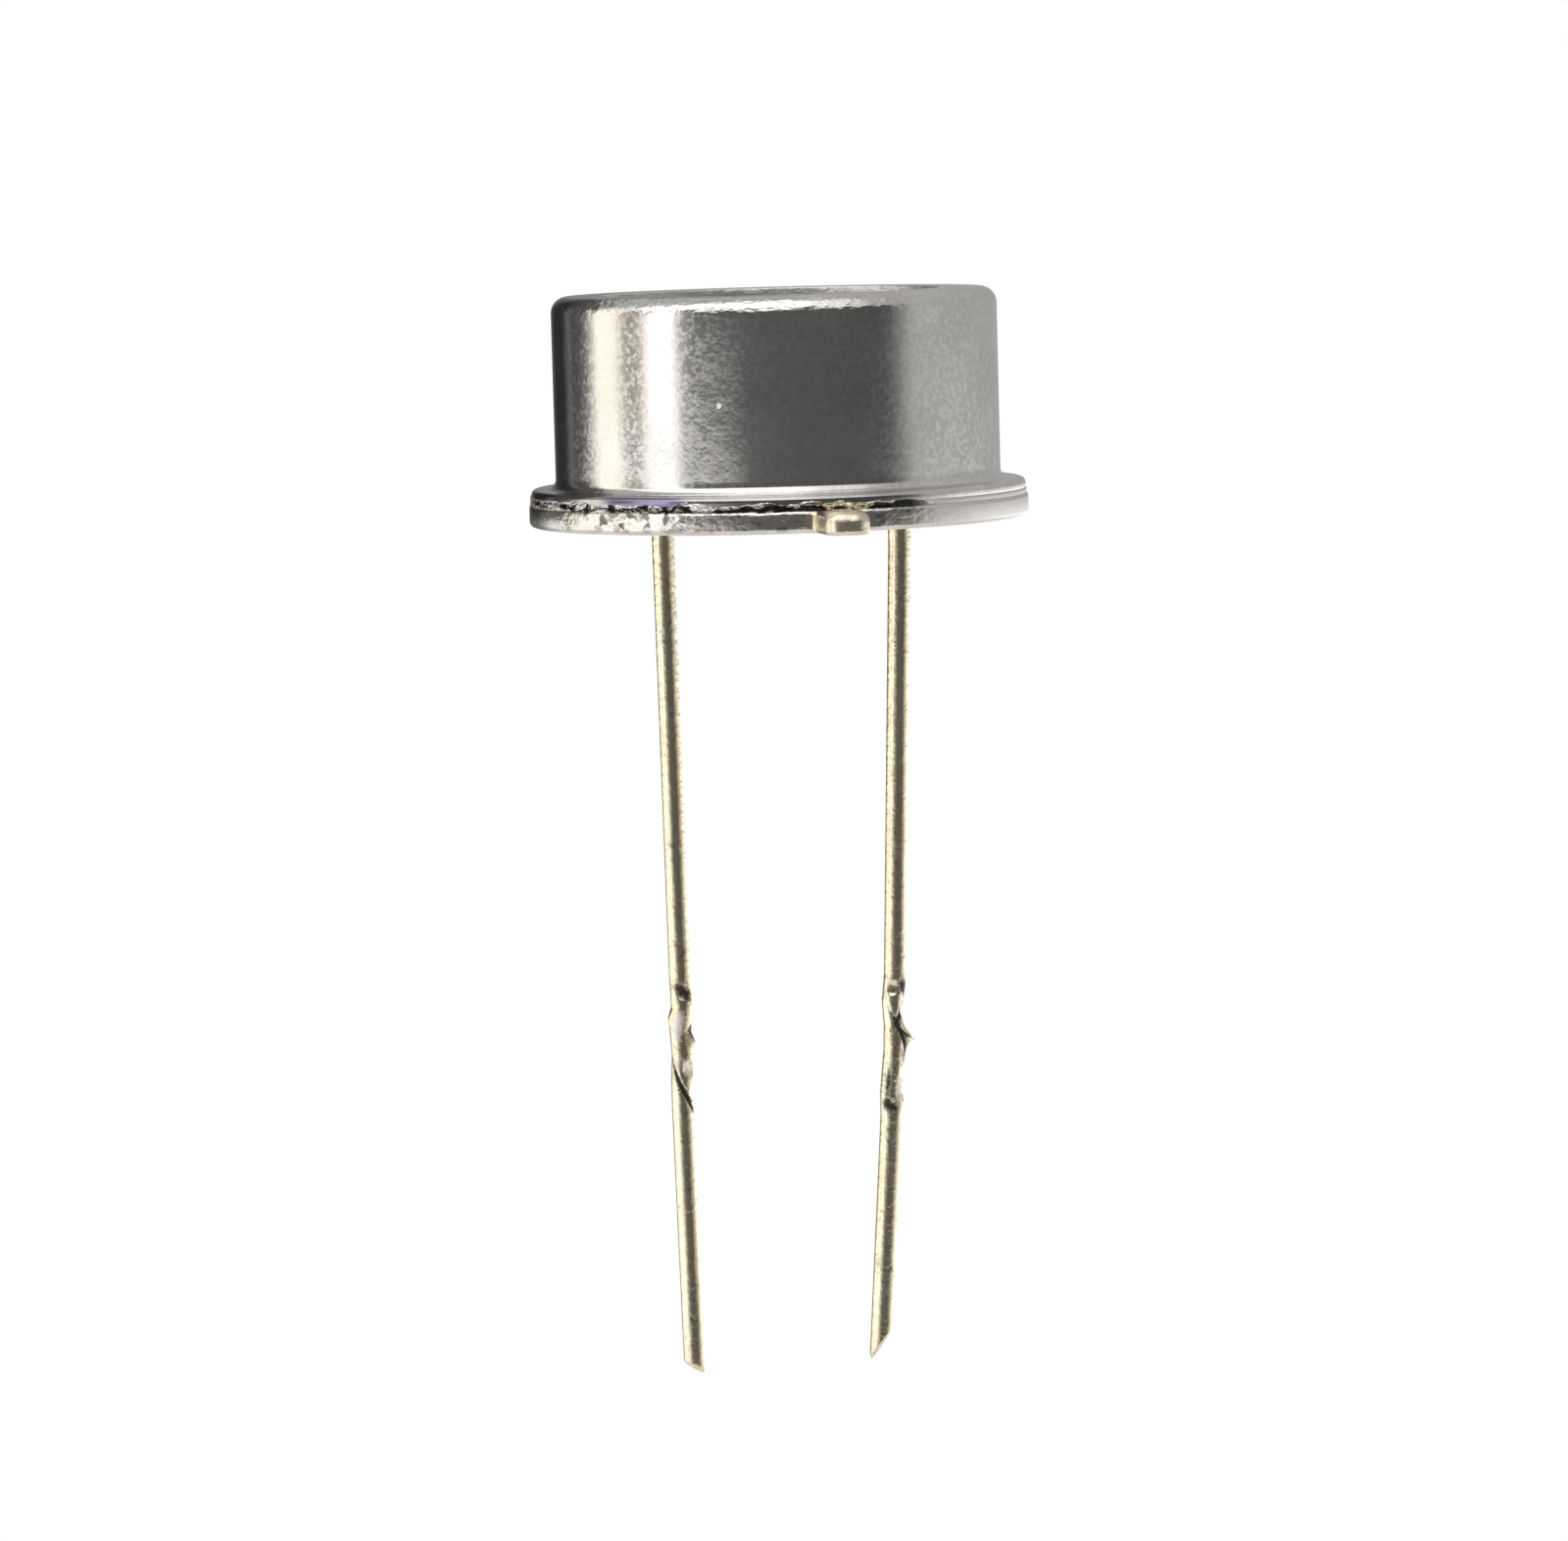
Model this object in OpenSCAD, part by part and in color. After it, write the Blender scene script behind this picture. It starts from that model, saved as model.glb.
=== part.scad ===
// Photodiode in a low two-lead metal can, in millimetres.
// The can's axis is +Z and the seating plane, under the flange, is z = 0.
// The two leads run down from there, kinked where pliers have held them.

/* [Header] */
// Diameter of the header's flange
flange_d = 9.1; // [8.4:0.05:9.8]
// Thickness of the header's flange
flange_t = 0.42; // [0.3:0.02:0.5]
// Radius on the rim of both flanges
rim_r = 0.1; // [0.04:0.01:0.12]
// Height of the raised platform above the flange
platform_h = 0.45; // [0.3:0.05:0.7]
// Gap between the platform and the inside of the cap
platform_gap = 0.3; // [0.15:0.05:0.5]
// Radius on the platform's edge
platform_r = 0.1; // [0.04:0.02:0.2]
// Diameter of the sunk seat that the cathode lead is welded in
seat_d = 1.1; // [0.95:0.05:1.3]
// Depth of the sunk seat under the flange
seat_h = 0.2; // [0.12:0.02:0.3]

/* [Index tab] */
// Width of the index tab
tab_w = 0.8; // [0.6:0.05:1]
// Length of the index tab beyond the flange
tab_l = 1; // [0.6:0.05:1.1]
// Radius on the tab's corners and long edges
tab_r = 0.12; // [0.05:0.01:0.13]
// Angle from the anode lead to the tab
tab_angle = 45; // [30:1:60]

/* [Cap] */
// Outside diameter of the cap
cap_d = 8.1; // [7.6:0.05:8.5]
// Height of the closed can above the seating plane
can_h = 4.15; // [3.6:0.05:5]
// Thickness of the cap's sheet
cap_wall = 0.2; // [0.18:0.01:0.3]
// Outside radius of the cap's shoulder
shoulder_r = 0.3; // [0.28:0.01:0.5]
// Radius of the fillet between the cap's wall and its flange
foot_r = 0.18; // [0.1:0.02:0.24]
// How far the cap's flange stays inside the header's flange
flange_step = 0.05; // [0:0.01:0.1]

/* [Weld seam] */
// Height of the fused seam between the flanges
seam_h = 0.05; // [0.03:0.01:0.08]
// Radial width of the fused seam
seam_w = 0.42; // [0.3:0.02:0.44]
// Depth of the groove that the seam leaves at the rim
seam_inset = 0.06; // [0.03:0.01:0.08]
// Waviness of the seam's outer edge
seam_wave = 0.02; // [0.005:0.005:0.03]

/* [Window] */
// Thickness of the window glass
window_t = 0.5; // [0.3:0.05:0.8]
// Gap between the window's edge and the inside of the cap
window_gap = 0.35; // [0.25:0.05:0.5]
// How far the window reaches under the cap's top
window_lap = 0.5; // [0.3:0.05:0.7]
// Thickness of the seal over the window
seal_t = 0.06; // [0.03:0.01:0.1]
// Width of the seal round the window's edge
seal_w = 0.2; // [0.1:0.02:0.24]

/* [Chip] */
// Side of the square chip
chip_w = 3; // [2.4:0.1:3.4]
// Thickness of the chip
chip_t = 0.3; // [0.2:0.02:0.4]
// Width of the scribed step round the chip's edge
chip_step_w = 0.12; // [0.08:0.02:0.2]
// Depth of the scribed step
chip_step_h = 0.03; // [0.01:0.01:0.05]
// Side of the square bond pad
pad_w = 0.34; // [0.24:0.02:0.4]
// Height of the bond pad above the active area
pad_h = 0.015; // [0.01:0.005:0.03]
// Distance from the pad's centre to the chip's edge
pad_inset = 0.36; // [0.34:0.02:0.6]
// Thickness of the die attach under the chip
attach_t = 0.03; // [0.02:0.01:0.06]
// Width of the die attach fillet beside the chip
attach_w = 0.1; // [0.04:0.02:0.16]
// Height of the die attach fillet on the chip's side
attach_h = 0.1; // [0.07:0.01:0.15]

/* [Bond wire] */
// Diameter of the bond wire
wire_d = 0.05; // [0.04:0.005:0.08]
// Height of the wire's loop above a straight line
wire_loop = 0.42; // [0.2:0.02:0.6]
// Radius of the bonded ball on the pad
ball_r = 0.08; // [0.06:0.01:0.1]
// Height of the bonded ball
ball_h = 0.05; // [0.04:0.01:0.06]

/* [Leads] */
// Diameter of the circle that the leads stand on
lead_circle = 5.08; // [4.8:0.02:5.4]
// Angle from +X to the anode lead
lead_angle = -32; // [-60:0.5:0]
// Diameter of a lead
lead_d = 0.41; // [0.36:0.01:0.48]
// Reach of the anode lead below the seating plane
anode_l = 15.3; // [13.5:0.05:20]
// Reach of the cathode lead below the seating plane
cathode_l = 16; // [13.5:0.05:20]
// Lean of the anode lead towards +X, above its kinks
anode_lean = -2; // [-4:0.05:4]
// Lean of the anode lead towards +X, below its kinks
anode_low_lean = -3.95; // [-5:0.05:5]
// Lean of the cathode lead towards +X, above its kinks
cathode_lean = 0.6; // [-4:0.05:4]
// Lean of the cathode lead towards +X, below its kinks
cathode_low_lean = 1.05; // [-5:0.05:5]
// Straight stretch of the anode lead before its kinks
anode_upper_l = 7.8; // [6:0.1:9]
// Straight stretch of the cathode lead before its kinks
cathode_upper_l = 8.1; // [6:0.1:9]
// Length of a typical kinked stretch
kink_l = 0.4; // [0.36:0.01:0.5]
// Depth of a typical jaw mark
jaw_depth = 0.05; // [0.02:0.01:0.06]
// Height of the largest burr squeezed out beside a jaw mark
burr_h = 0.12; // [0.04:0.01:0.14]
// Inside radius of the bends
bend_r = 0.15; // [0.1:0.01:0.3]
// Height of the post above the platform
post_h = 0.72; // [0.5:0.02:1]
// Diameter of the flattened head on the post
head_d = 0.64; // [0.5:0.02:0.8]
// Thickness of the head
head_t = 0.12; // [0.08:0.02:0.2]

/* [Lead seals] */
// Diameter of the glass bead round the anode lead
bead_d = 1.1; // [0.9:0.05:1.3]
// Recess of the bead's two ends in the header
bead_recess = 0.04; // [0.02:0.01:0.08]
// Height of the glass that climbs the lead at each end of the bead
meniscus_h = 0.12; // [0.05:0.01:0.2]
// Width of the welded fillet round the cathode lead
weld_w = 0.2; // [0.1:0.02:0.24]

/* [Hidden] */
$fn = 96;
EPS = 0.01;

// Kinked stretches of each lead: share of kink_l, lean towards +X, a jaw mark's share of
// jaw_depth and its side, and a burr's share of burr_h and its side. 0 is the +X side.
ANODE_KINKS = [
    [1.1, -6, 0.8, -100, 0, 0],
    [1, 3, 1.2, 0, 0, 0],
    [1.1, -2, 0, 0, 1, 0],
    [1.9, -6, 1.2, 0, 0, 0],
    [0.9, 0, 0, 0, 0.3, 0]];
CATHODE_KINKS = [
    [1.4, 2, 0.8, -80, 0, 0],
    [1, -5, 0, 0, 0.35, 180],
    [1.1, 3, 0, 0, 0.5, 0],
    [1, -3, 1, -50, 0, 0],
    [1.2, 0, 1.2, 0, 0, 0]];

cap_r = cap_d / 2;
inner_r = cap_r - cap_wall;
flange_r = flange_d / 2;
cap_foot_z = flange_t + seam_h;
cap_flange_r = flange_r - flange_step;
platform_z = flange_t + platform_h;
window_r = inner_r - window_gap;
aperture_r = window_r - window_lap;
window_top_z = can_h - cap_wall - seal_t;
chip_z = platform_z + attach_t;
chip_top_z = chip_z + chip_t;
lead_r = lead_d / 2;
lead_u = lead_circle / 2;
pad_u = chip_w / 2 - pad_inset;
pad_top_z = chip_top_z + pad_h;
post_top_z = platform_z + post_h;
tip_l = lead_r / 2;
bend_path_r = bend_r + lead_r;
wire_sides = 8;
wire_rings = 26;
seam_points = 120;

// A square with one rounded corner, far from the origin.
module rounded_step(w, h, r) {
    union() {
        square([w - r, h]);
        square([w, h - r]);
        translate([w - r, h - r]) circle(r = r);
    }
}

// What is left between a corner and a circle that touches both of its sides.
module inside_fillet(r) {
    difference() {
        square(r);
        translate([r, r]) circle(r = r);
    }
}

// Plan of the index tab, from the can's axis outwards.
module tab_plan() {
    reach = flange_r + tab_l;
    union() {
        translate([lead_u, -tab_w / 2]) square([reach - tab_r - lead_u, tab_w]);
        translate([lead_u, tab_r - tab_w / 2]) square([reach - lead_u, tab_w - 2 * tab_r]);
        for (side = [-1, 1])
            translate([reach - tab_r, side * (tab_w / 2 - tab_r)]) circle(r = tab_r);
    }
}

// Section of the index tab across its length, with its long edges rounded.
module tab_section() {
    union() {
        translate([-tab_w / 2, tab_r]) square([tab_w, flange_t - 2 * tab_r]);
        translate([tab_r - tab_w / 2, 0]) square([tab_w - 2 * tab_r, flange_t]);
        for (side = [-1, 1])
            for (z = [tab_r, flange_t - tab_r])
                translate([side * (tab_w / 2 - tab_r), z]) circle(r = tab_r);
    }
}

module index_tab() {
    intersection() {
        linear_extrude(height = flange_t) tab_plan();
        rotate([90, 0, 90]) linear_extrude(height = flange_r + tab_l + EPS) tab_section();
    }
}

// Gold-plated base: flange, platform and tab, with the hole for the glass bead and the sunk
// seat for the cathode lead.
module header() {
    color("#c9a24a")
    difference() {
        union() {
            rotate_extrude() difference() {
                square([flange_r, flange_t]);
                translate([flange_r, 0]) mirror([1, 0]) inside_fillet(rim_r);
            }
            translate([0, 0, flange_t / 2])
                rotate_extrude()
                    rounded_step(inner_r - platform_gap, platform_h + flange_t / 2, platform_r);
            rotate([0, 0, lead_angle - tab_angle]) index_tab();
        }
        rotate([0, 0, lead_angle]) {
            translate([lead_u, 0, -EPS]) cylinder(h = platform_z + 2 * EPS, d = bead_d);
            translate([-lead_u, 0, -EPS]) cylinder(h = seat_h + EPS, d = seat_d);
        }
    }
}

// Nickel-plated can, drawn from one sheet, with the window's opening punched in its top.
module cap() {
    color("#b9b7b3")
    rotate_extrude() difference() {
        union() {
            translate([0, cap_foot_z]) rounded_step(cap_r, can_h - cap_foot_z, shoulder_r);
            translate([0, cap_foot_z]) rounded_step(cap_flange_r, cap_wall, rim_r);
            translate([cap_r, cap_foot_z + cap_wall]) inside_fillet(foot_r);
        }
        translate([0, cap_foot_z - EPS])
            rounded_step(inner_r, can_h - cap_wall - cap_foot_z + EPS, shoulder_r - cap_wall);
        translate([0, can_h - cap_wall - EPS]) square([aperture_r, cap_wall + 2 * EPS]);
    }
}

// Outer edge of the seam at one angle: two slow waves and a quick one.
function seam_r(a) = cap_flange_r - seam_inset
    + seam_wave * (0.5 * sin(17 * a) + 0.3 * sin(29 * a + 40) + 0.2 * cos(7 * a));

// Fused ring between the two flanges, with a wavy edge where the melt was squeezed out. It never
// runs further in than the cap's wall.
module weld_seam() {
    color("#6e6a66")
    translate([0, 0, flange_t]) linear_extrude(height = seam_h) difference() {
        polygon([for (i = [0 : seam_points - 1])
            let (a = 360 * i / seam_points) seam_r(a) * [cos(a), sin(a)]]);
        circle(r = max(cap_flange_r - seam_inset - seam_w, inner_r));
    }
}

// Glass disc under the opening.
module window() {
    color("#cfe3e8", 0.4)
    translate([0, 0, window_top_z - window_t]) cylinder(h = window_t, r = window_r);
}

// Fused glass between the window and the cap's top, with a collar round the window's edge.
module window_seal() {
    collar_h = seal_t + window_t / 2;
    color("#8f9a94")
    rotate_extrude() union() {
        translate([aperture_r, window_top_z]) square([window_lap, seal_t]);
        translate([window_r, window_top_z + seal_t - collar_h])
            intersection() {
                square([seal_w, collar_h]);
                polygon([[0, 0], [seal_w, collar_h / 2], [seal_w, collar_h], [0, collar_h]]);
            }
    }
}

// A scallop that the jaws left in the +X side of a lead, at the origin.
module jaw_mark(depth) {
    jaw_r = 1.5 * lead_r;
    translate([lead_r + jaw_r - depth, 0, 0]) rotate([90, 0, 0])
        cylinder(h = 4 * lead_r, r = jaw_r, center = true);
}

// A round burr that stands out of the +X side of a lead, at the origin.
module burr(height) {
    burr_r = 0.8 * lead_r;
    translate([lead_r + height - burr_r, 0, 0]) sphere(r = burr_r);
}

// One straight stretch of a lead, [length, lean, mark, its side, burr, its side], from the
// origin down.
module stretch(s) {
    difference() {
        translate([0, 0, -s[0]]) cylinder(h = s[0], r = lead_r);
        if (s[2] > 0) translate([0, 0, -s[0] / 2]) rotate([0, 0, s[3]]) jaw_mark(s[2]);
    }
    if (s[4] > 0) translate([0, 0, -s[0] / 2]) rotate([0, 0, s[5]]) burr(s[4]);
}

// A bend in the XZ plane, turning a downward lead towards +X, with the rest of the lead after it.
module bend(turn) {
    side = turn > 0 ? 1 : -1;
    if (turn != 0)
        translate([side * bend_path_r, 0, 0]) rotate([-90, 0, turn > 0 ? 180 : 0])
            rotate_extrude(angle = abs(turn)) translate([bend_path_r, 0]) circle(r = lead_r);
    translate([side * bend_path_r, 0, 0]) rotate([0, -turn, 0]) translate([-side * bend_path_r, 0, 0])
        children();
}

// A lead as its list of stretches, ending in a blunt tip.
module bent_lead(stretches, i = 0, lean = 0) {
    if (i < len(stretches)) {
        bend(stretches[i][1] - lean) {
            stretch(stretches[i]);
            translate([0, 0, -stretches[i][0]]) bent_lead(stretches, i + 1, stretches[i][1]);
        }
    } else {
        translate([0, 0, -tip_l]) cylinder(h = tip_l, r1 = lead_r - tip_l / 2, r2 = lead_r);
    }
}

// Drop in height along a list of stretches, bends included.
function drop(stretches, i = 0, lean = 0) = i == len(stretches) ? 0 :
    bend_path_r * abs(sin(stretches[i][1]) - sin(lean)) + stretches[i][0] * cos(stretches[i][1])
    + drop(stretches, i + 1, stretches[i][1]);

// A plain stretch with no mark and no burr.
function plain(length, lean) = [length, lean, 0, 0, 0, 0];

// The whole lead's stretches: a root in line with the can, the upper straight, the kinks, and
// a lower straight that brings the tip to the stated reach below the lead's start.
function lead_stretches(root, reach, upper_l, lean, low_lean, kinks) =
    let (upper = concat([plain(root, 0), plain(upper_l, lean)],
                        [for (k = kinks)
                            [k[0] * kink_l, k[1], k[2] * jaw_depth, k[3], k[4] * burr_h, k[5]]]),
         rest = reach - drop(concat(upper, [plain(0, low_lean)])))
    concat(upper, [plain(rest / cos(low_lean) - tip_l, low_lean)]);

// Glass-sealed lead: its post and flattened head stand beside the chip.
module anode_lead() {
    color("#b99b55")
    rotate([0, 0, lead_angle]) translate([lead_u, 0, 0]) rotate([0, 0, -lead_angle]) union() {
        cylinder(h = post_top_z - head_t, r = lead_r);
        translate([0, 0, post_top_z - head_t]) cylinder(h = head_t, d = head_d);
        bent_lead(lead_stretches(lead_d, anode_l, anode_upper_l, anode_lean, anode_low_lean, ANODE_KINKS));
    }
}

// Case lead, butt-welded in the sunk seat of the header.
module cathode_lead() {
    color("#b99b55")
    rotate([0, 0, lead_angle]) translate([-lead_u, 0, seat_h]) rotate([0, 0, -lead_angle])
        bent_lead(lead_stretches(seat_h + lead_d, seat_h + cathode_l, cathode_upper_l, cathode_lean,
                                 cathode_low_lean, CATHODE_KINKS));
}

// Glass bead through the header, climbing the lead a little at both ends.
module anode_seal() {
    bead_h = platform_z - 2 * bead_recess;
    color("#3f5a58")
    rotate([0, 0, lead_angle]) translate([lead_u, 0, bead_recess]) difference() {
        union() {
            cylinder(h = bead_h, d = bead_d);
            translate([0, 0, bead_h]) cylinder(h = meniscus_h, r1 = 2 * lead_r, r2 = lead_r + EPS);
            translate([0, 0, -meniscus_h]) cylinder(h = meniscus_h, r1 = lead_r + EPS, r2 = 2 * lead_r);
        }
        translate([0, 0, -meniscus_h - EPS]) cylinder(h = bead_h + 2 * meniscus_h + 2 * EPS, r = lead_r);
    }
}

// Fillet of weld metal round the root of the case lead, inside its seat.
module lead_weld() {
    weld_r = min(weld_w, seat_h);
    color("#a88f52")
    rotate([0, 0, lead_angle]) translate([-lead_u, 0, seat_h]) rotate_extrude()
        translate([lead_r, 0]) mirror([0, 1]) inside_fillet(weld_r);
}

// Silicon chip with its scribed edge, active area and bond pad.
module photodiode_chip() {
    active_w = chip_w - 2 * chip_step_w;
    color("#2b2f45")
    rotate([0, 0, lead_angle]) union() {
        translate([-chip_w / 2, -chip_w / 2, chip_z]) cube([chip_w, chip_w, chip_t - chip_step_h]);
        translate([-active_w / 2, -active_w / 2, chip_z]) cube([active_w, active_w, chip_t]);
        translate([pad_u - pad_w / 2, -pad_w / 2, chip_z]) cube([pad_w, pad_w, chip_t + pad_h]);
    }
}

// Silver-filled layer under the chip, with a fillet that climbs its sides.
module die_attach() {
    foot_w = chip_w + 2 * attach_w;
    color("#a9a9a6")
    rotate([0, 0, lead_angle]) translate([0, 0, platform_z]) difference() {
        linear_extrude(height = attach_h, scale = (chip_w + EPS) / foot_w) square(foot_w, center = true);
        translate([-chip_w / 2, -chip_w / 2, attach_t]) cube([chip_w, chip_w, attach_h]);
    }
}

// Centre of the bond wire at t from 0, on the ball, to 1, on the post: a lifted, skewed arch.
function wire_point(t) =
    let (u0 = pad_u, u1 = lead_u, z0 = pad_top_z + ball_h, z1 = post_top_z + wire_d / 4,
         s = t * t * (3 - 2 * t))
    [u0 + (u1 - u0) * (0.35 * t + 0.65 * s) * (0.4 + 0.6 * t), 0,
     z0 + (z1 - z0) * t + wire_loop * sin(180 * pow(t, 0.7))];

// Ring of points round the wire at t; the stitch at the far end is pressed flat and wide.
function wire_ring(t) =
    let (p = wire_point(t), ahead = wire_point(min(1, t + 0.01)), back = wire_point(max(0, t - 0.01)),
         d = (ahead - back) / norm(ahead - back), side = [0, 1, 0], up = cross(d, side),
         flat = max(0, (t - 0.9) / 0.1),
         half_h = wire_d / 2 * (1 - 0.5 * flat), half_w = wire_d / 2 * (1 + flat))
    [for (i = [0 : wire_sides - 1])
        let (a = 360 * i / wire_sides) p + side * half_w * cos(a) + up * half_h * sin(a)];

// Wire from the chip's pad to the post, with a ball at its start.
module bond_wire() {
    rings = [for (k = [0 : wire_rings - 1]) wire_ring(k / (wire_rings - 1))];
    points = [for (ring = rings) each ring];
    sides = [for (k = [0 : wire_rings - 2], i = [0 : wire_sides - 1])
        let (j = (i + 1) % wire_sides, low = k * wire_sides, high = low + wire_sides)
        each [[low + i, low + j, high + i], [low + j, high + j, high + i]]];
    ends = [[for (i = [wire_sides - 1 : -1 : 0]) i],
            [for (i = [0 : wire_sides - 1]) (wire_rings - 1) * wire_sides + i]];
    color("#e0b84c")
    rotate([0, 0, lead_angle]) union() {
        translate([pad_u, 0, pad_top_z]) cylinder(h = ball_h, r1 = ball_r, r2 = 0.7 * ball_r);
        polyhedron(points = points, faces = concat(sides, ends), convexity = 4);
    }
}

header();
cap();
weld_seam();
window();
window_seal();
anode_lead();
anode_seal();
cathode_lead();
lead_weld();
photodiode_chip();
die_attach();
bond_wire();
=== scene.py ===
import math
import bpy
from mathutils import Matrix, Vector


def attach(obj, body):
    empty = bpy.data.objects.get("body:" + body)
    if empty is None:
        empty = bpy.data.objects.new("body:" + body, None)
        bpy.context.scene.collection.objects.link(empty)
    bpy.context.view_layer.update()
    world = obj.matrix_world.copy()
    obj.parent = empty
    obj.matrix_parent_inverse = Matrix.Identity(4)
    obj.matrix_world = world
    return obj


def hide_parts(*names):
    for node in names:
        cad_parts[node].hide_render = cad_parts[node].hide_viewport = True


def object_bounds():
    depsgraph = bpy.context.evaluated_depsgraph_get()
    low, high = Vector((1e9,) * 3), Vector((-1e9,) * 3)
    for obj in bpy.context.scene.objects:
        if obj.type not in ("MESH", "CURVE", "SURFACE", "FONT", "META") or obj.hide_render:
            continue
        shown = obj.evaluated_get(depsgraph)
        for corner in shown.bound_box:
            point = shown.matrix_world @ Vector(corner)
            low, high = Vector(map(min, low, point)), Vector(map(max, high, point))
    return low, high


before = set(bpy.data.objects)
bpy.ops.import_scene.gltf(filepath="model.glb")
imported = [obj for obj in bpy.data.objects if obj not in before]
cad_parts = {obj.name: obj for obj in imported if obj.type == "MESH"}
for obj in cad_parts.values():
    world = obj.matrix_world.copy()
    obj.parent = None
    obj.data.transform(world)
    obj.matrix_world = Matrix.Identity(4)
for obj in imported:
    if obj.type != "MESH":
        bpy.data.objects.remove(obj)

from types import SimpleNamespace

import bpy
import numpy as np
from bpy.props import FloatProperty, FloatVectorProperty, IntProperty, PointerProperty
from mathutils import Matrix, Vector

bl_info = {
    "name": "Photodiode Dresser",
    "version": (1, 0, 0),
    "blender": (4, 5, 0),
    "location": "3D View > Sidebar > Photodiode",
    "description": "Skins, finishes and a studio for a two-lead photodiode in a windowed metal can",
    "category": "Object",
}

CAD_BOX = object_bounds()

# Kinked stretches of each lead: share of the kink length, lean towards +X, a jaw mark's share
# of its depth and its side, and a burr's share of its height and its side. 0 is the +X side.
ANODE_KINKS = [
    [1.1, -6, 0.8, -100, 0, 0],
    [1, 3, 1.2, 0, 0, 0],
    [1.1, -2, 0, 0, 1, 0],
    [1.9, -6, 1.2, 0, 0, 0],
    [0.9, 0, 0, 0, 0.3, 0]]
CATHODE_KINKS = [
    [1.4, 2, 0.8, -80, 0, 0],
    [1, -5, 0, 0, 0.35, 180],
    [1.1, 3, 0, 0, 0.5, 0],
    [1, -3, 1, -50, 0, 0],
    [1.2, 0, 1.2, 0, 0, 0]]

# Lean of each lead towards +X above and below its kinks, in degrees.
ANODE_LEANS, CATHODE_LEANS = (-2, -3.95), (0.6, 1.05)

# Dents the pliers left on each lead, with painted reflection on them: height below the
# seating face, side, length along the lead, width round it, slant, depth of the dent and its
# painted reflection, from -1, a painted bright reflection, to 1, a painted black one. Lengths
# are in millimetres and sides in degrees.
ANODE_DENTS_AND_PAINTED_REFLECTIONS = [
    [8.43, -32, 0.24, 80, 0.08, 0.015, 0.95],
    [8.97, -60, 0.15, 90, -0.3, 0.04, 1.0],
    [9.02, 0, 0.5, 100, 0.0, 0.06, 0.3],
    [9.26, -62, 0.13, 110, 0.42, 0.03, 1.1],
    [9.72, -30, 0.35, 50, 0.0, 0.02, 0.6],
    [10.2, -112, 0.5, 36, 0.05, 0.02, 0.8],
    [10.3, -40, 0.4, 70, 0.0, 0.03, -0.8],
    [10.62, -95, 0.16, 100, 0.06, 0.03, 0.95]]
CATHODE_DENTS_AND_PAINTED_REFLECTIONS = [
    [8.81, -75, 0.26, 100, 0.12, 0.012, 0.95],
    [9.42, -105, 0.5, 90, 0.0, 0.0, -0.9],
    [9.3, -168, 0.3, 50, -0.1, 0.0, 0.5],
    [9.55, -22, 0.28, 80, 0.0, 0.02, 0.9],
    [10.28, -50, 0.18, 80, 0.3, 0.0, -0.9],
    [10.45, -112, 0.13, 90, 0.42, 0.04, 1.1],
    [10.81, -55, 0.14, 90, 0.35, 0.04, 1.1]]

# Places of the finishes' marks, in millimetres.
# The first place is a small pit whose colour also holds a painted glint.
PIT_AND_PAINTED_GLINT, HEAT_TINT = (-1.02, -3.92, 2.25), (-2.4, -3.73, 0.6)
RIM_RIGHT, RIM_LEFT, TAB = (4.3, -2.0, 0.3), (-4.6, -0.4, 0.3), (1.1, -5.0, 0.3)
# The second place is where the seam's line of painted shade is widest.
SEAM_DRESSED, SEAM_PAINTED_DARK, SEAM_GOLD = (4.4, -1.5, 0.45), (2.35, -3.9, 0.45), (1.3, -4.5, 0.45)

# Light round the part: angle, 0 in front and positive to the right, and brightness. The strips
# and flags lie from the horizon up, the rim's light 3 degrees under it, the low light below.
BRIGHTEST = 1.7
STRIPS = [
    (-180, 0.3), (-168, 0.1), (-158, 0.03), (-141, 0.03), (-133, 0.16), (-128, 0.08),
    (-120, 0.1), (-114, 0.2), (-109, 0.75), (-104, 1.55), (-91, 1.5), (-85, 0.66), (-79, 0.42),
    (-74, 0.62), (-69, 1.4), (-64, 1.7), (-54, 1.7), (-49, 0.5), (-44, 0.22), (-38, 0.17),
    (-20, 0.13), (0, 0.115), (57, 0.095), (63, 0.14), (68, 0.28), (75, 0.49), (84, 0.5),
    (140, 0.46), (180, 0.4)]
RIM = [
    (-180, 0.2), (-165, 0.04), (-122, 0.05), (-114, 0.9), (-104, 1.4), (-88, 1.3), (-78, 0.5),
    (-70, 1.3), (-36, 1.35), (-24, 1.0), (-14, 0.24), (10, 0.16), (57, 0.12), (68, 0.3),
    (75, 0.52), (140, 0.5), (180, 0.4)]
LOW = [
    (-180, 0.12), (-144, 0.2), (-126, 1.2), (-80, 1.5), (-56, 1.2), (-40, 0.8), (-24, 0.24),
    (-9, 0.11), (10, 0.09), (45, 0.1), (60, 0.3), (76, 0.65), (90, 1.1), (110, 1.5), (180, 1.6)]
# How warm the light is at some of the angles, 0 for white.
WARMTH = {-109: 0.7, -104: 1.0, -91: 1.0, -85: 1.2, -79: 1.5, -74: 1.0}


# ---------------------------------------------------------------- sizes and colours

def length(name, description, millimetres, lowest=0):
    """A size in metres, given in millimetres."""
    return FloatProperty(name=name, description=description, default=millimetres / 1000,
                         min=lowest, precision=6, unit="LENGTH", subtype="DISTANCE")


def turn(name, description, degrees):
    """An angle in radians, given in degrees."""
    return FloatProperty(name=name, description=description, default=math.radians(degrees),
                         subtype="ANGLE", unit="ROTATION")


def colour(name, description, red, green, blue):
    """A colour as shares of red, green and blue."""
    return FloatVectorProperty(name=name, description=description, default=(red, green, blue),
                               size=3, min=0, max=1, subtype="COLOR")


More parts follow.
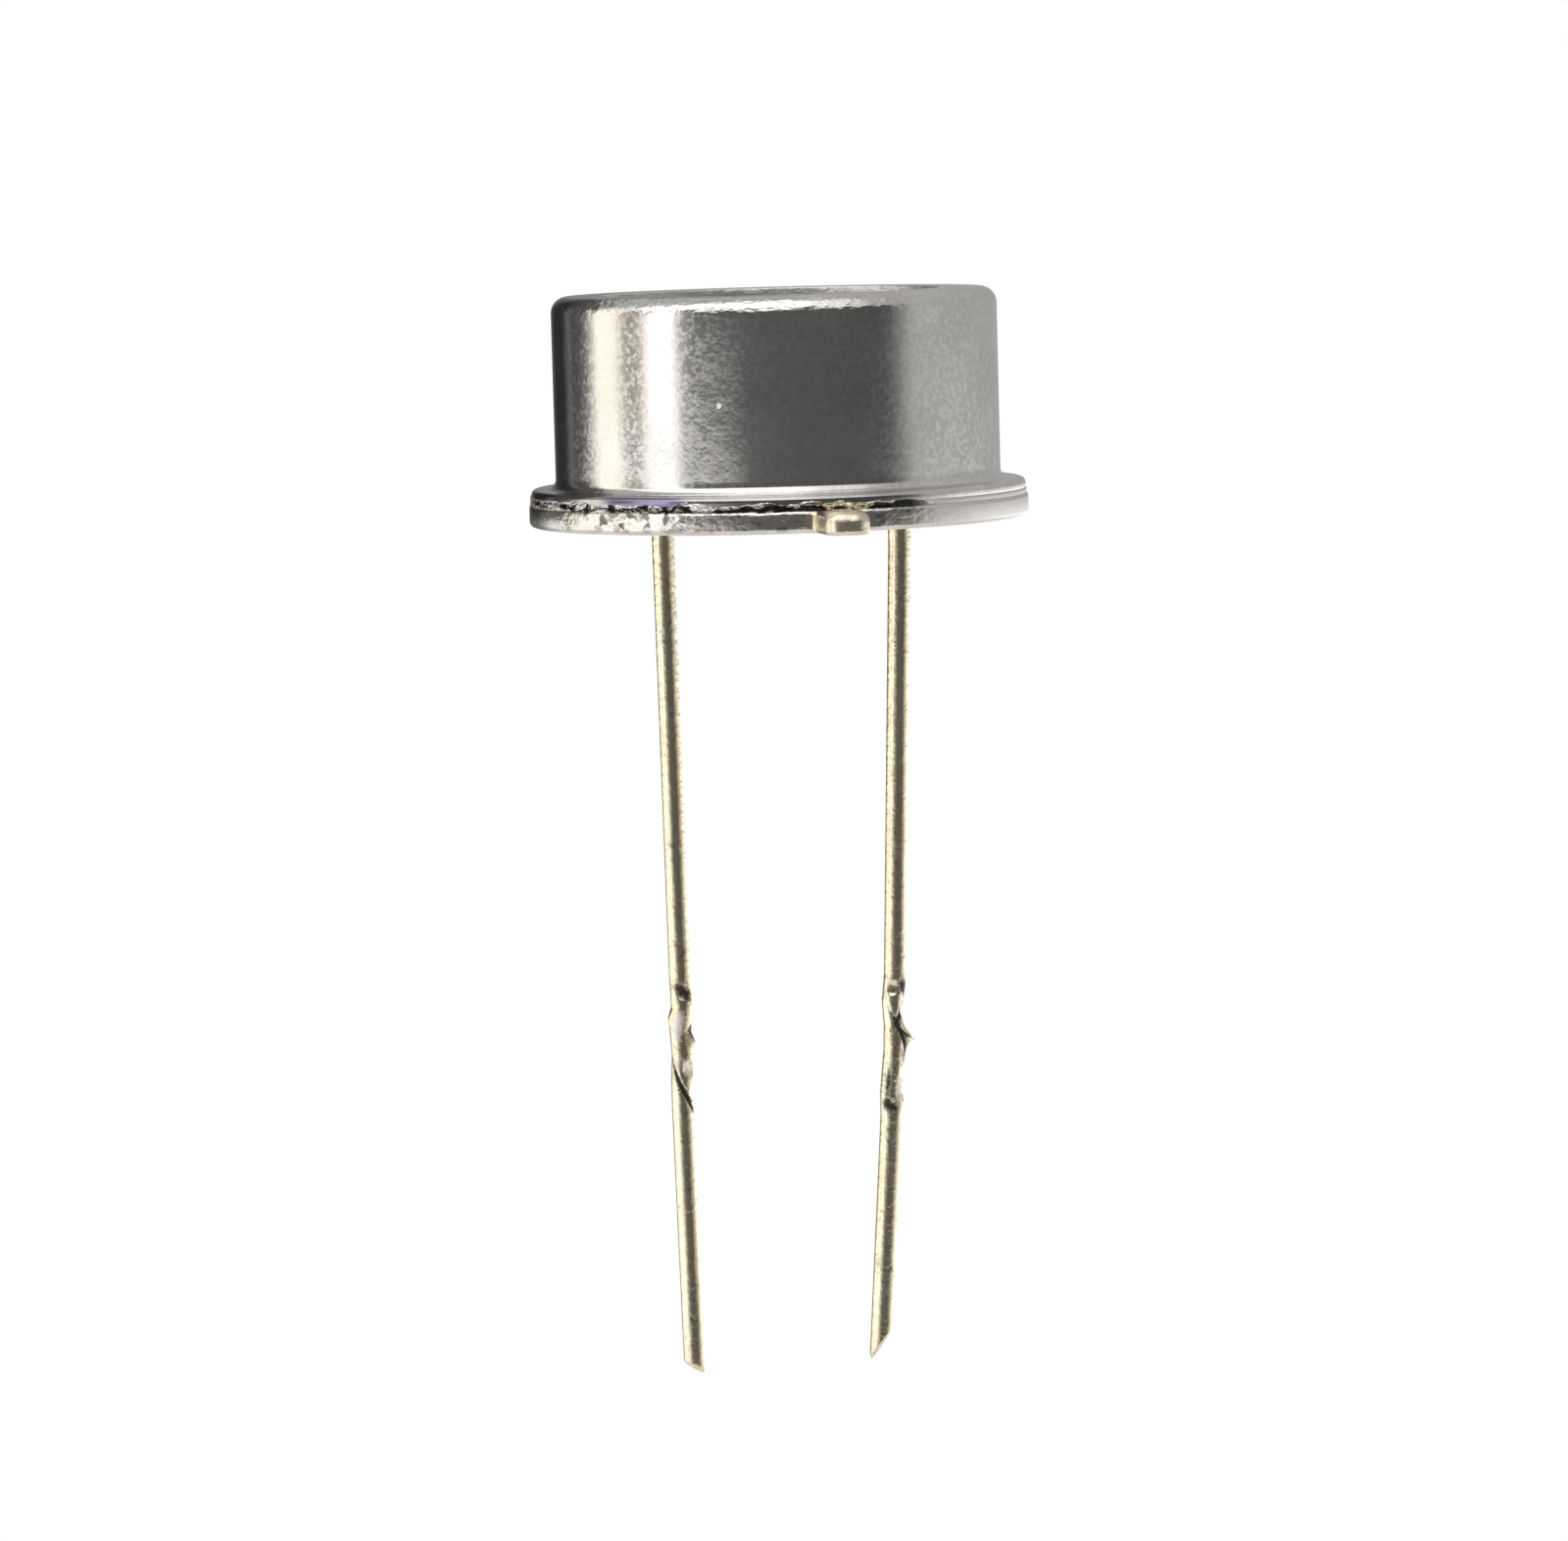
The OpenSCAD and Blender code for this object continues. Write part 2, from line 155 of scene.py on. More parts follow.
class CanSizes(bpy.types.PropertyGroup):
    """Sizes of the header, the cap and the window."""
    flange_radius: length("Flange radius", "Radius of the header's flange", 4.544)
    flange_thickness: length("Flange thickness", "Thickness of the header's flange", 0.42)
    platform_radius: length("Platform radius", "Radius of the raised platform in the can", 3.55)
    platform_height: length("Platform height", "Height of the platform's top", 0.87)
    tab_width: length("Tab width", "Width of the index tab", 0.8)
    tab_reach: length("Tab reach", "Radius at the index tab's end", 5.55)
    tab_rounding: length("Tab rounding", "Radius of the index tab's corners", 0.3)
    tab_turn: turn("Tab turn", "Direction of the index tab", -77)
    seat_radius: length("Seat radius", "Radius of the sunk seat under the case lead", 0.55)
    seat_depth: length("Seat depth", "Depth of the sunk seat", 0.2)
    cap_radius: length("Cap radius", "Radius of the cap's wall", 4.05)
    cap_flange: length("Cap flange", "Radius of the cap's flange", 4.5)
    cap_foot: length("Cap foot", "Height of the underside of the cap's flange", 0.47)
    cap_wall: length("Sheet", "Thickness of the cap's sheet", 0.2)
    can_height: length("Can height", "Height of the cap's top", 4.15)
    shoulder: length("Shoulder", "Radius of the cap's shoulder", 0.3)
    foot_fillet: length("Foot fillet", "Radius between the wall and the flange", 0.18)
    opening: length("Opening", "Radius of the window's opening", 3.0)
    window_radius: length("Window radius", "Radius of the glass disc", 3.5)
    window_thickness: length("Window thickness", "Thickness of the glass disc", 0.5)
    window_top: length("Window top", "Height of the glass disc's top", 3.89)


class LeadSizes(bpy.types.PropertyGroup):
    """Sizes of the two leads and their seals."""
    radius: length("Lead radius", "Radius of both leads", 0.205)
    circle: length("Lead circle", "Radius of the circle through the leads' roots", 2.54)
    turn: turn("Lead turn", "Direction of the anode lead's root", -32)
    anode: length("Anode lead", "Reach of the anode lead below the seating face", 15.3)
    cathode: length("Cathode lead", "Reach of the cathode lead below the seating face", 16.0)
    anode_upper: length("Anode straight", "Straight above the anode lead's kinks", 7.8)
    cathode_upper: length("Cathode straight", "Straight above the cathode lead's kinks", 8.1)
    kink: length("Kink length", "Length of a kinked stretch", 0.4)
    mark: length("Jaw mark", "Depth of a jaw mark", 0.05)
    burr: length("Burr", "Height of a burr", 0.12)
    bend: length("Bend", "Radius of the bends at the lead's centre line", 0.355)
    anode_cut: length("Anode tip", "Slant of the anode lead's cut tip", 0.55)
    cathode_cut: length("Cathode tip", "Slant of the cathode lead's cut tip", 0.2)
    post: length("Post", "Height of the anode post's top", 1.59)
    head_radius: length("Head radius", "Radius of the post's flattened head", 0.32)
    head_thickness: length("Head thickness", "Thickness of the flattened head", 0.12)
    bead_radius: length("Bead radius", "Radius of the glass bead", 0.55)
    weld_fillet: length("Weld fillet", "Radius of the weld round the case lead's root", 0.2)


class ChipSizes(bpy.types.PropertyGroup):
    """Sizes of the chip and the wire bonded to it."""
    width: length("Chip width", "Width of the chip", 3.0)
    base: length("Chip base", "Height of the chip's underside", 0.9)
    thickness: length("Chip thickness", "Thickness of the chip", 0.3)
    street: length("Street", "Width of the scribed edge", 0.12)
    ring: length("Contact ring", "Width of the metal ring round the active area", 0.09)
    pad: length("Pad", "Width of the bond pad", 0.34)
    pad_place: length("Pad place", "Distance of the pad from the middle", 1.14)
    wire: length("Wire", "Diameter of the bond wire", 0.05)
    loop: length("Loop", "Height of the wire's loop", 0.42)


class Finishes(bpy.types.PropertyGroup):
    """Main colours of the finishes."""
    nickel: colour("Nickel", "Satin nickel of the cap", 0.74, 0.72, 0.69)
    gold: colour("Gold", "Gold plate of the header", 0.93, 0.74, 0.38)
    pale_gold: colour("Pale gold", "Thin gold over nickel on the header's rim", 0.84, 0.8, 0.73)
    lead_gold: colour("Lead gold", "Pale plate of the leads", 0.93, 0.84, 0.62)
    tarnish: colour("Tarnish", "Brown tarnish on the leads", 0.36, 0.27, 0.15)
    flash: colour("Weld flash", "Bright squeezed-out weld metal", 0.9, 0.88, 0.84)
    # Painted shade: the black of the line painted along the seam's groove.
    scale: colour("Weld scale", "Dark scale in the weld", 0.03, 0.028, 0.03)
    heat: colour("Heat tint", "Violet tint that welding left on the cap's flange", 0.24, 0.2, 0.31)
    seal: colour("Sealing glass", "Dark sealing glass", 0.035, 0.06, 0.055)
    active: colour("Active area", "Coated active area of the chip", 0.05, 0.035, 0.24)
    metal: colour("Chip metal", "Aluminium ring and pad", 0.83, 0.83, 0.81)


class StudioSettings(bpy.types.PropertyGroup):
    """The camera, the floor and the light."""
    distance: length("Camera distance", "Distance of the camera in front of the can's axis", 112.39)
    height: length("Camera height", "Height of the camera over the seating face", 6.657)
    aside: length("Camera aside", "Place of the camera along X", -0.037, lowest=-1)
    pitch: turn("Pitch", "Downward angle of the camera", 5.7198)
    roll: turn("Roll", "Roll of the camera", -1.5386)
    lens: FloatProperty(name="Lens", description="Focal length over a 36 mm sensor, in millimetres",
                        default=141.694, min=1)
    floor_reach: length("Floor reach", "Half the width of the pale floor", 160.0)
    strength: FloatProperty(name="Strength", description="Strength of the studio's light",
                            default=1.0, min=0)
    segments: IntProperty(name="Segments", description="Columns of points round the can",
                          default=288, min=24)


GROUPS = {"can": CanSizes, "leads": LeadSizes, "chip": ChipSizes, "finishes": Finishes,
          "studio": StudioSettings}


def settings(context, *groups):
    """The values of each group by name, with their lengths in millimetres."""
    read = []
    for group in groups:
        values = getattr(context.scene, "photodiode_" + group)
        found = {}
        for name in GROUPS[group].__annotations__:
            value = getattr(values, name)
            metres = values.bl_rna.properties[name].unit == "LENGTH"
            found[name] = value * 1000 if metres else value
        read.append(SimpleNamespace(**found))
    return read


# ---------------------------------------------------------------- surfaces

def skin(rows, closed=False):
    """Points and faces of a grid rows[m, n, 3] whose columns wrap round. Each cell is a quad.
    Closed rows join the last to the first; otherwise a fan to its middle closes each end row.
    Faces are rows of four corners, and a triangle's fourth is -1."""
    m, n, _ = rows.shape
    i, j = np.meshgrid(np.arange(m if closed else m - 1), np.arange(n), indexing="ij")
    at = lambda a, b: (a % m) * n + b % n
    faces = np.stack([at(i, j), at(i, j + 1), at(i + 1, j + 1), at(i + 1, j)], -1).reshape(-1, 4)
    if closed:
        return rows.reshape(-1, 3), faces
    return welded(*joined((rows.reshape(-1, 3), faces), fan(rows[0][::-1]), fan(rows[-1])))


def sheet(rows):
    """Points and faces of an open grid rows[m, n, 3]."""
    m, n, _ = rows.shape
    i, j = np.meshgrid(np.arange(m - 1), np.arange(n - 1), indexing="ij")
    corner = i * n + j
    faces = np.stack([corner, corner + 1, corner + n + 1, corner + n], -1)
    return rows.reshape(-1, 3), faces.reshape(-1, 4)


def fan(ring):
    """Triangles from a closed ring of points to its middle."""
    n = len(ring)
    k = np.arange(n)
    return (np.vstack([ring, ring.mean(0)]),
            np.stack([k, (k + 1) % n, np.full(n, n), np.full(n, -1)], -1))


def joined(*parts):
    """Several (points, faces) as one: each part's corners are counted on from the last's."""
    firsts = np.cumsum([0] + [len(points) for points, _ in parts])
    return (np.vstack([points for points, _ in parts]),
            np.vstack([np.where(faces < 0, -1, faces + first)
                       for (_, faces), first in zip(parts, firsts)]))


def welded(points, faces):
    """The same surface with coinciding points made one. A corner that equals the next is taken
    out, so a quad may become a triangle, and a face with fewer than three is dropped."""
    _, kept, turn = np.unique(np.round(points, 6), axis=0, return_index=True, return_inverse=True)
    order = np.argsort(kept)
    place = np.empty_like(order)
    place[order] = np.arange(len(order))
    faces = np.append(place[turn.reshape(-1)], -1)[faces]
    after = np.where(faces[:, 3:] < 0, faces[:, [1, 2, 0, 3]], faces[:, [1, 2, 3, 0]])
    out = (faces == after) | (faces < 0)
    faces = np.take_along_axis(faces, np.argsort(out, axis=1, kind="stable"), 1)
    left = 4 - out.sum(1)
    faces[left == 3, 3] = -1
    return points[kept[order]], faces[left > 2]


def outward(points, faces):
    """The faces turned so that the closed surface's signed volume, the sum of a . (b x c) over
    its triangles, is positive."""
    fans = np.vstack([faces[:, :3], faces[faces[:, 3] >= 0][:, [0, 2, 3]]])
    a, b, c = points[fans[:, 0]], points[fans[:, 1]], points[fans[:, 2]]
    if np.einsum("ij,ij->", a, np.cross(b, c)) > 0:
        return faces
    return np.where(faces[:, 3:] < 0, faces[:, [2, 1, 0, 3]], faces[:, ::-1])


def mesh_of(name, points, faces, material):
    """A mesh from points in millimetres."""
    mesh = bpy.data.meshes.new(name)
    corners = (faces >= 0).sum(1)
    mesh.vertices.add(len(points))
    mesh.vertices.foreach_set("co", (points / 1000).astype(np.float32).ravel())
    mesh.loops.add(int(corners.sum()))
    mesh.loops.foreach_set("vertex_index", faces[faces >= 0].astype(np.int32))
    mesh.polygons.add(len(faces))
    mesh.polygons.foreach_set("loop_start", (np.cumsum(corners) - corners).astype(np.int32))
    mesh.update(calc_edges=True)
    mesh.validate()
    mesh.materials.append(material)
    return mesh


def shells(*parts):
    """Several closed surfaces as one, each with its faces outwards."""
    return joined(*[(points, outward(points, faces)) for points, faces in parts])


def placed(name, data):
    """A new object in the scene."""
    made = bpy.data.objects.new(name, data)
    bpy.context.scene.collection.objects.link(made)
    return made


def piece(name, shape, material, slot, nodes, sharp=40, **attributes):
    """A piece of the part from its points and faces: faces outwards, smooth but for edges
    sharper than the given angle, riding on the one body and standing for the named nodes."""
    points, faces = shape
    mesh = mesh_of(name, points, outward(points, faces), material)
    mesh.polygons.foreach_set("use_smooth", np.ones(len(mesh.polygons), bool))
    mesh.set_sharp_from_angle(angle=math.radians(sharp))
    for key, values in attributes.items():
        layer = mesh.attributes.new(key, "FLOAT", "POINT")
        layer.data.foreach_set("value", np.asarray(values, np.float32))
    made = placed(name, mesh)
    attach(made, "root")
    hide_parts(*nodes)
    for node in nodes:
        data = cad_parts[node].data
        data.materials.clear()
        data.materials.append(material)


def angles(count):
    """Evenly spaced angles round a full turn."""
    return np.linspace(0, 2 * np.pi, count, endpoint=False)


def apart(angle, other):
    """Signed difference of two angles, from -pi to pi."""
    return np.angle(np.exp(1j * (angle - other)))


def unit(vectors):
    """Vectors with their lengths made 1."""
    return vectors / np.linalg.norm(vectors, axis=-1)[..., None]


def rounds(r, angle, z, place=(0, 0)):
    """Points (r cos a, r sin a, z), moved to the place."""
    return np.stack(np.broadcast_arrays(
        place[0] + r * np.cos(angle), place[1] + r * np.sin(angle), z), -1)


def root_of(leads):
    """Plan place of the anode lead's root. The case lead's is opposite."""
    return leads.circle * np.array([math.cos(leads.turn), math.sin(leads.turn)])


def arc(centre, radius, start, end, count):
    """Points of an arc in a plane, from one angle to another in degrees."""
    a = np.radians(np.linspace(start, end, count))
    return np.stack([centre[0] + radius * np.cos(a), centre[1] + radius * np.sin(a)], -1)


def lathe(profile, count, place=(0, 0), closed=True):
    """A profile of (radius, height) carried round a vertical axis at the place."""
    return skin(rounds(profile[:, :1], angles(count), profile[:, 1:], place), closed)


def waves(angle, lowest, highest, seed):
    """A wavy line round the axis, between about -1 and 1: cosines of whole numbers of periods
    with seeded phases, all of one size."""
    k = np.arange(lowest, highest + 1)
    phases = np.random.default_rng(seed).uniform(0, 2 * np.pi, len(k))
    return np.cos(k[:, None] * angle[None, :] + phases[:, None]).sum(0) / math.sqrt(len(k)) / 1.6


def turned(points, turn):
    """Points turned about the vertical axis."""
    c, s = math.cos(turn), math.sin(turn)
    return points @ np.array([[c, s, 0], [-s, c, 0], [0, 0, 1]])


def tab_outline(sizes, count):
    """Plan of the flange with its tab along +X, anticlockwise from the tab's end: the end, a
    rounded corner, a side, a small fillet into the flange's circle, the circle, and the same
    mirrored. Also gives how much each point belongs to the tab, from 0 to 1."""
    big, half, reach, c, q = (sizes.flange_radius, sizes.tab_width / 2, sizes.tab_reach,
                              sizes.tab_rounding, 0.1)
    x = math.sqrt((big + q) ** 2 - (half + q) ** 2)
    meet = math.degrees(math.atan2(half + q, x))
    end = np.stack([np.full(7, reach), np.linspace(0, half - c, 7)], -1)[:-1]
    corner = arc((reach - c, half - c), c, 0, 90, 9)
    side = np.stack([np.linspace(reach - c, x, 12), np.full(12, half)], -1)[1:-1]
    fillet = arc((x, half + q), q, 270, 180 + meet, 7)
    rim = arc((0, 0), big, meet, 360 - meet, count)[1:-1]
    upper = np.vstack([end, corner, side, fillet])
    lower = (upper[1:] * [1, -1])[::-1]
    tab = np.concatenate([np.ones(len(end) + len(corner) + len(side)), np.linspace(1, 0, 7)])
    share = np.concatenate([tab, np.zeros(len(rim)), tab[1:][::-1]])
    return np.vstack([upper, rim, lower]), share


def offset_inwards(outline, distance):
    """The closed outline moved inwards along its normals, a distance for each point."""
    ahead, behind = np.roll(outline, -1, 0), np.roll(outline, 1, 0)
    along = unit(ahead - behind)
    normal = np.stack([along[:, 1], -along[:, 0]], -1)
    return outline - normal * np.asarray(distance)[..., None]


def round_a_hole(edge, centre, radius, rings):
    """Plan points from a closed edge in to a round hole: each edge point goes straight towards
    the hole's centre."""
    hole = centre + radius * unit(edge - centre)
    t = np.linspace(0, 1, rings)[:, None, None]
    return edge * (1 - t) + hole * t


def at_height(plan, height):
    """Plan points with a height, or a height for each."""
    return np.concatenate([plan, np.broadcast_to(height, plan.shape[:-1])[..., None]], -1)


def header_skin(sizes, leads, count):
    """The header in one closed skin: its rim's section carried along the outline, the platform
    as circles at the same polar angles, a flat top and floor drawn round the bead's hole, and a
    second half of the floor drawn round the sunk seat."""
    outline, tab = tab_outline(sizes, count)
    outline = turned(at_height(outline, 0.0), sizes.tab_turn)[:, :2]
    high, crown = sizes.flange_thickness, sizes.platform_height
    low_round, top_round = 0.09 - 0.01 * tab, 0.09 + 0.1 * tab
    quarter = np.radians(np.linspace(0, 90, 7))
    edge = [(low_round * (1 - math.sin(a)), low_round * (1 - math.cos(a))) for a in quarter]
    edge += [(top_round * (1 - math.cos(a)), high - top_round * (1 - math.sin(a)))
             for a in quarter]
    ledge, platform, fillet, crown_round = 4.2, sizes.platform_radius, 0.06, 0.1
    steps = [(ledge, high), (platform + fillet, high)]
    steps += [(platform + fillet - fillet * math.sin(a), high + fillet * (1 - math.cos(a)))
              for a in np.radians([30, 60, 90])]
    steps += [tuple(p) for p in arc((platform - crown_round, crown - crown_round),
                                    crown_round, 0, 90, 6)]
    steps += [(platform - 0.25, crown)]
    polar = np.arctan2(outline[:, 1], outline[:, 0])
    skirt = np.stack([rounds(ledge, polar, 0.0)]
                     + [at_height(offset_inwards(outline, inset), z) for inset, z in edge]
                     + [rounds(r, polar, z) for r, z in steps])
    bead = root_of(leads)
    top = at_height(round_a_hole(skirt[-1][:, :2], bead, leads.bead_radius, 10), crown)
    wrap = lambda grid: np.concatenate([grid, grid[:, :1]], 1)
    patches = [sheet(wrap(skirt)), sheet(wrap(top))]
    # The floor: two halves that share the cut, each round its own hole.
    floor = skirt[0][:, :2]
    cut_angle = leads.turn + math.pi / 2
    first, second = (int(np.argmin(np.abs(apart(polar, cut_angle + k * math.pi))))
                     for k in (0, 1))
    cut = floor[first] + (floor[second] - floor[first]) * np.linspace(0, 1, 40)[:, None]
    span = lambda a, b: floor[(a + np.arange((b - a) % len(floor) + 1)) % len(floor)]
    for a, b, across, centre, deep in (
            (first, second, cut[::-1], -bead, sizes.seat_depth), (second, first, cut, bead, None)):
        radius = sizes.seat_radius if deep else leads.bead_radius
        plan = round_a_hole(np.vstack([span(a, b), across[1:-1]]), centre, radius, 9)
        flat = at_height(plan, 0.0)
        patches.append(sheet(wrap(flat)))
        if deep:
            wall = np.stack([flat[-1], flat[-1] + [0, 0, deep]])
            shrink = np.linspace(1, 0.02, 4)[:, None, None]
            plug = at_height(centre + (plan[-1] - centre) * shrink, deep)
            patches += [sheet(wrap(wall)), sheet(wrap(plug)), fan(plug[-1])]
        else:
            bead_edge = flat[-1]
    # The top's edge and the floor's edge round the bead have different points.
    patches.append(tube_between(top[-1], bead_edge, bead))
    return welded(*joined(*patches))


def tube_between(upper, lower, centre):
    """Faces between two rings of unlike points on one vertical hole: both are sorted by angle
    and zipped together, always stepping on the ring whose next point comes first."""
    rings = []
    for ring in (upper, lower):
        angle = np.arctan2(ring[:, 1] - centre[1], ring[:, 0] - centre[0])
        order = np.argsort(angle)
        rings.append((ring[order], angle[order]))
    (a, angle_a), (b, angle_b) = rings
    na, nb = len(a), len(b)
    step = np.concatenate([np.stack([angle_a, np.zeros(na)], -1),
                           np.stack([angle_b, np.ones(nb)], -1)])
    step = step[np.argsort(step[:, 0], kind="stable")]
    on_a = (np.cumsum(step[:, 1] == 0) - 1) % na
    on_b = (np.cumsum(step[:, 1] == 1) - 1) % nb
    before_a, before_b = np.roll(on_a, 1), np.roll(on_b, 1)
    on_first = step[:, 1:] == 0
    faces = np.where(on_first, np.stack([before_a, on_a, na + on_b], -1),
                     np.stack([on_a, na + on_b, na + before_b], -1))
    whole = (faces != np.roll(faces, 1, 1)).all(1)
    return np.vstack([a, b]), np.hstack([faces, np.full((len(faces), 1), -1)])[whole]


def cap_profile(sizes):
    """Section of the drawn cap, (radius, height) all round it: over the top and down the
    outside, round the flange, and back up the inside to the opening."""
    r, top, foot, wall = sizes.cap_radius, sizes.can_height, sizes.cap_foot, sizes.cap_wall
    s, q, e = sizes.shoulder, sizes.foot_fillet, 0.03
    flange_top = foot + wall
    roof_line = (sizes.opening + 0.15, r - s - 0.05)
    wall_line = (top - s - 0.08, flange_top + q + 0.06)
    lip, under, mouth = 0.09, 0.05, 0.04
    outside = [arc((sizes.opening + e, top - e), e, 180, 90, 4),
               np.stack([np.linspace(*roof_line, 5), np.full(5, top)], -1),
               arc((r - s, top - s), s, 90, 0, 18),
               np.stack([np.full(14, r), np.linspace(*wall_line, 14)], -1),
               arc((r + q, flange_top + q), q, 180, 270, 12),
               arc((sizes.cap_flange - lip, flange_top - lip), lip, 90, 0, 9),
               arc((sizes.cap_flange - under, foot + under), under, 0, -90, 6)]
    inner, roof, i = r - wall, top - wall, s - wall
    inside = [arc((inner + mouth, foot + mouth), mouth, 270, 180, 4),
              arc((inner - i, roof - i), i, 0, 90, 8),
              arc((sizes.opening + e, roof + e), e, 270, 180, 4)]
    return np.vstack(outside + inside)


def seam_skin(sizes, count=1440, layers=25):
    """The seam: a bead carried round the rim, whose outer face spreads a little over the flange
    above and the header below. At t from -1 to 1 up the face the radius is the crest's times
    the square root of 1 - t^4, plus lumps whose waves also turn with t. The lumps die away at
    the right front, where the seam was dressed flush. Also gives each point's lump."""
    a = angles(count)
    t = np.linspace(-1, 1, layers)[:, None]
    middle = (sizes.flange_thickness + sizes.cap_foot) / 2
    flush = math.radians(-25)
    rough = np.clip((np.abs(apart(a, flush)) - 0.45) / 0.3, 0, 1)
    lump = np.stack([waves(a + 0.02 * k, 24, 110, 5) * math.cos(k / 4)
                     + waves(a - 0.015 * k, 24, 110, 7) * math.sin(k / 4) for k in range(layers)])
    lump = np.clip(lump, -1, 1) * rough
    inner, crest = sizes.cap_flange - 0.5, sizes.flange_radius - 0.03
    round_off = np.sqrt(np.clip(1 - t ** 4, 0, None))
    r = inner + (crest - inner) * (0.9 + 0.1 * round_off) + 0.03 * lump * round_off
    spread = 0.055 + 0.055 * rough * np.clip(1 + waves(a, 10, 50, 11), 0, 1.6)
    z = middle + 0.02 * rough * waves(a, 8, 40, 3) + spread * t
    back = np.full((1, count), inner)
    r = np.vstack([back, np.minimum(r, sizes.flange_radius - 0.002), back])
    z = np.vstack([back * 0 + middle - 0.02, z, back * 0 + middle + 0.02])
    points, faces = skin(rounds(r, a, z), closed=True)
    return points, faces, np.vstack([back * 0, lump, back * 0]).reshape(-1)


def window_ring_profile(sizes):
    """Section of the ring that bonds the window: round the disc's top edge, up to the cap's
    sheet, in to the opening, and a small bulge there."""
    r, high, roof = sizes.window_radius, sizes.window_top, sizes.can_height - sizes.cap_wall
    inner, outer, gap = sizes.opening + 0.02, r + 0.2, 0.001
    return np.vstack([[inner, high + gap], [r, high + gap], [r + 0.002, high - 0.24],
                      arc((outer, high - 0.25), 0.19, 170, 100, 8),
                      [outer, roof - gap], [inner, roof - gap],
                      arc((sizes.opening, (high + roof) / 2), 0.028, 80, -80, 6)])


def disc_profile(radius, low, high, edge):
    """Section of a disc with bevelled rims, from the middle below to the middle above."""
    return np.array([[radius * 0.5, low], [radius - edge, low], [radius, low + edge],
                     [radius, high - edge], [radius - edge, high], [radius * 0.5, high]])


def lead_stretches(root, reach, upper, leans, kinks, sizes):
    """Straight stretches of a lead, [length, lean, mark, its side, burr, its side]: a root, the
    upper straight, the kinks, and a lower straight that brings the tip to the given reach."""
    lean, low_lean = leans
    rows = [[root, 0, 0, 0, 0, 0], [upper, lean, 0, 0, 0, 0]]
    rows += [[k[0] * sizes.kink, k[1], k[2] * sizes.mark, k[3], k[4] * sizes.burr, k[5]]
             for k in kinks]
    rows.append([0, low_lean, 0, 0, 0, 0])
    rows = np.array(rows, float)
    sine = np.sin(np.radians(np.concatenate([[0], rows[:, 1]])))
    drop = (sizes.bend * np.abs(np.diff(sine))).sum()
    drop += (rows[:, 0] * np.cos(np.radians(rows[:, 1]))).sum()
    rows[-1, 0] = (reach - drop) / math.cos(math.radians(low_lean))
    return rows


def lead_line(rows, sizes, pitch):
    """A lead's centre line from its stretches: the distance along it, its lean, and its places
    across and down. The lean is level along each straight and runs evenly through each bend,
    and its sine and cosine are summed. Also gives each stretch's start and end."""
    leans = np.radians(rows[:, 1])
    turns = np.abs(np.diff(np.concatenate([[0], leans]))) * sizes.bend
    ends = np.cumsum(turns + rows[:, 0])
    spans = np.stack([ends - rows[:, 0], ends], -1)
    s = np.append(np.arange(0, ends[-1], pitch), ends[-1])
    lean = np.interp(s, np.append(0, spans.ravel()), np.append(0, np.repeat(leans, 2)))
    step = np.diff(s, prepend=0)
    x, z = (np.cumsum((v + np.roll(v, 1)) / 2 * step) for v in (np.sin(lean), np.cos(lean)))
    return s, lean, x, -z, spans


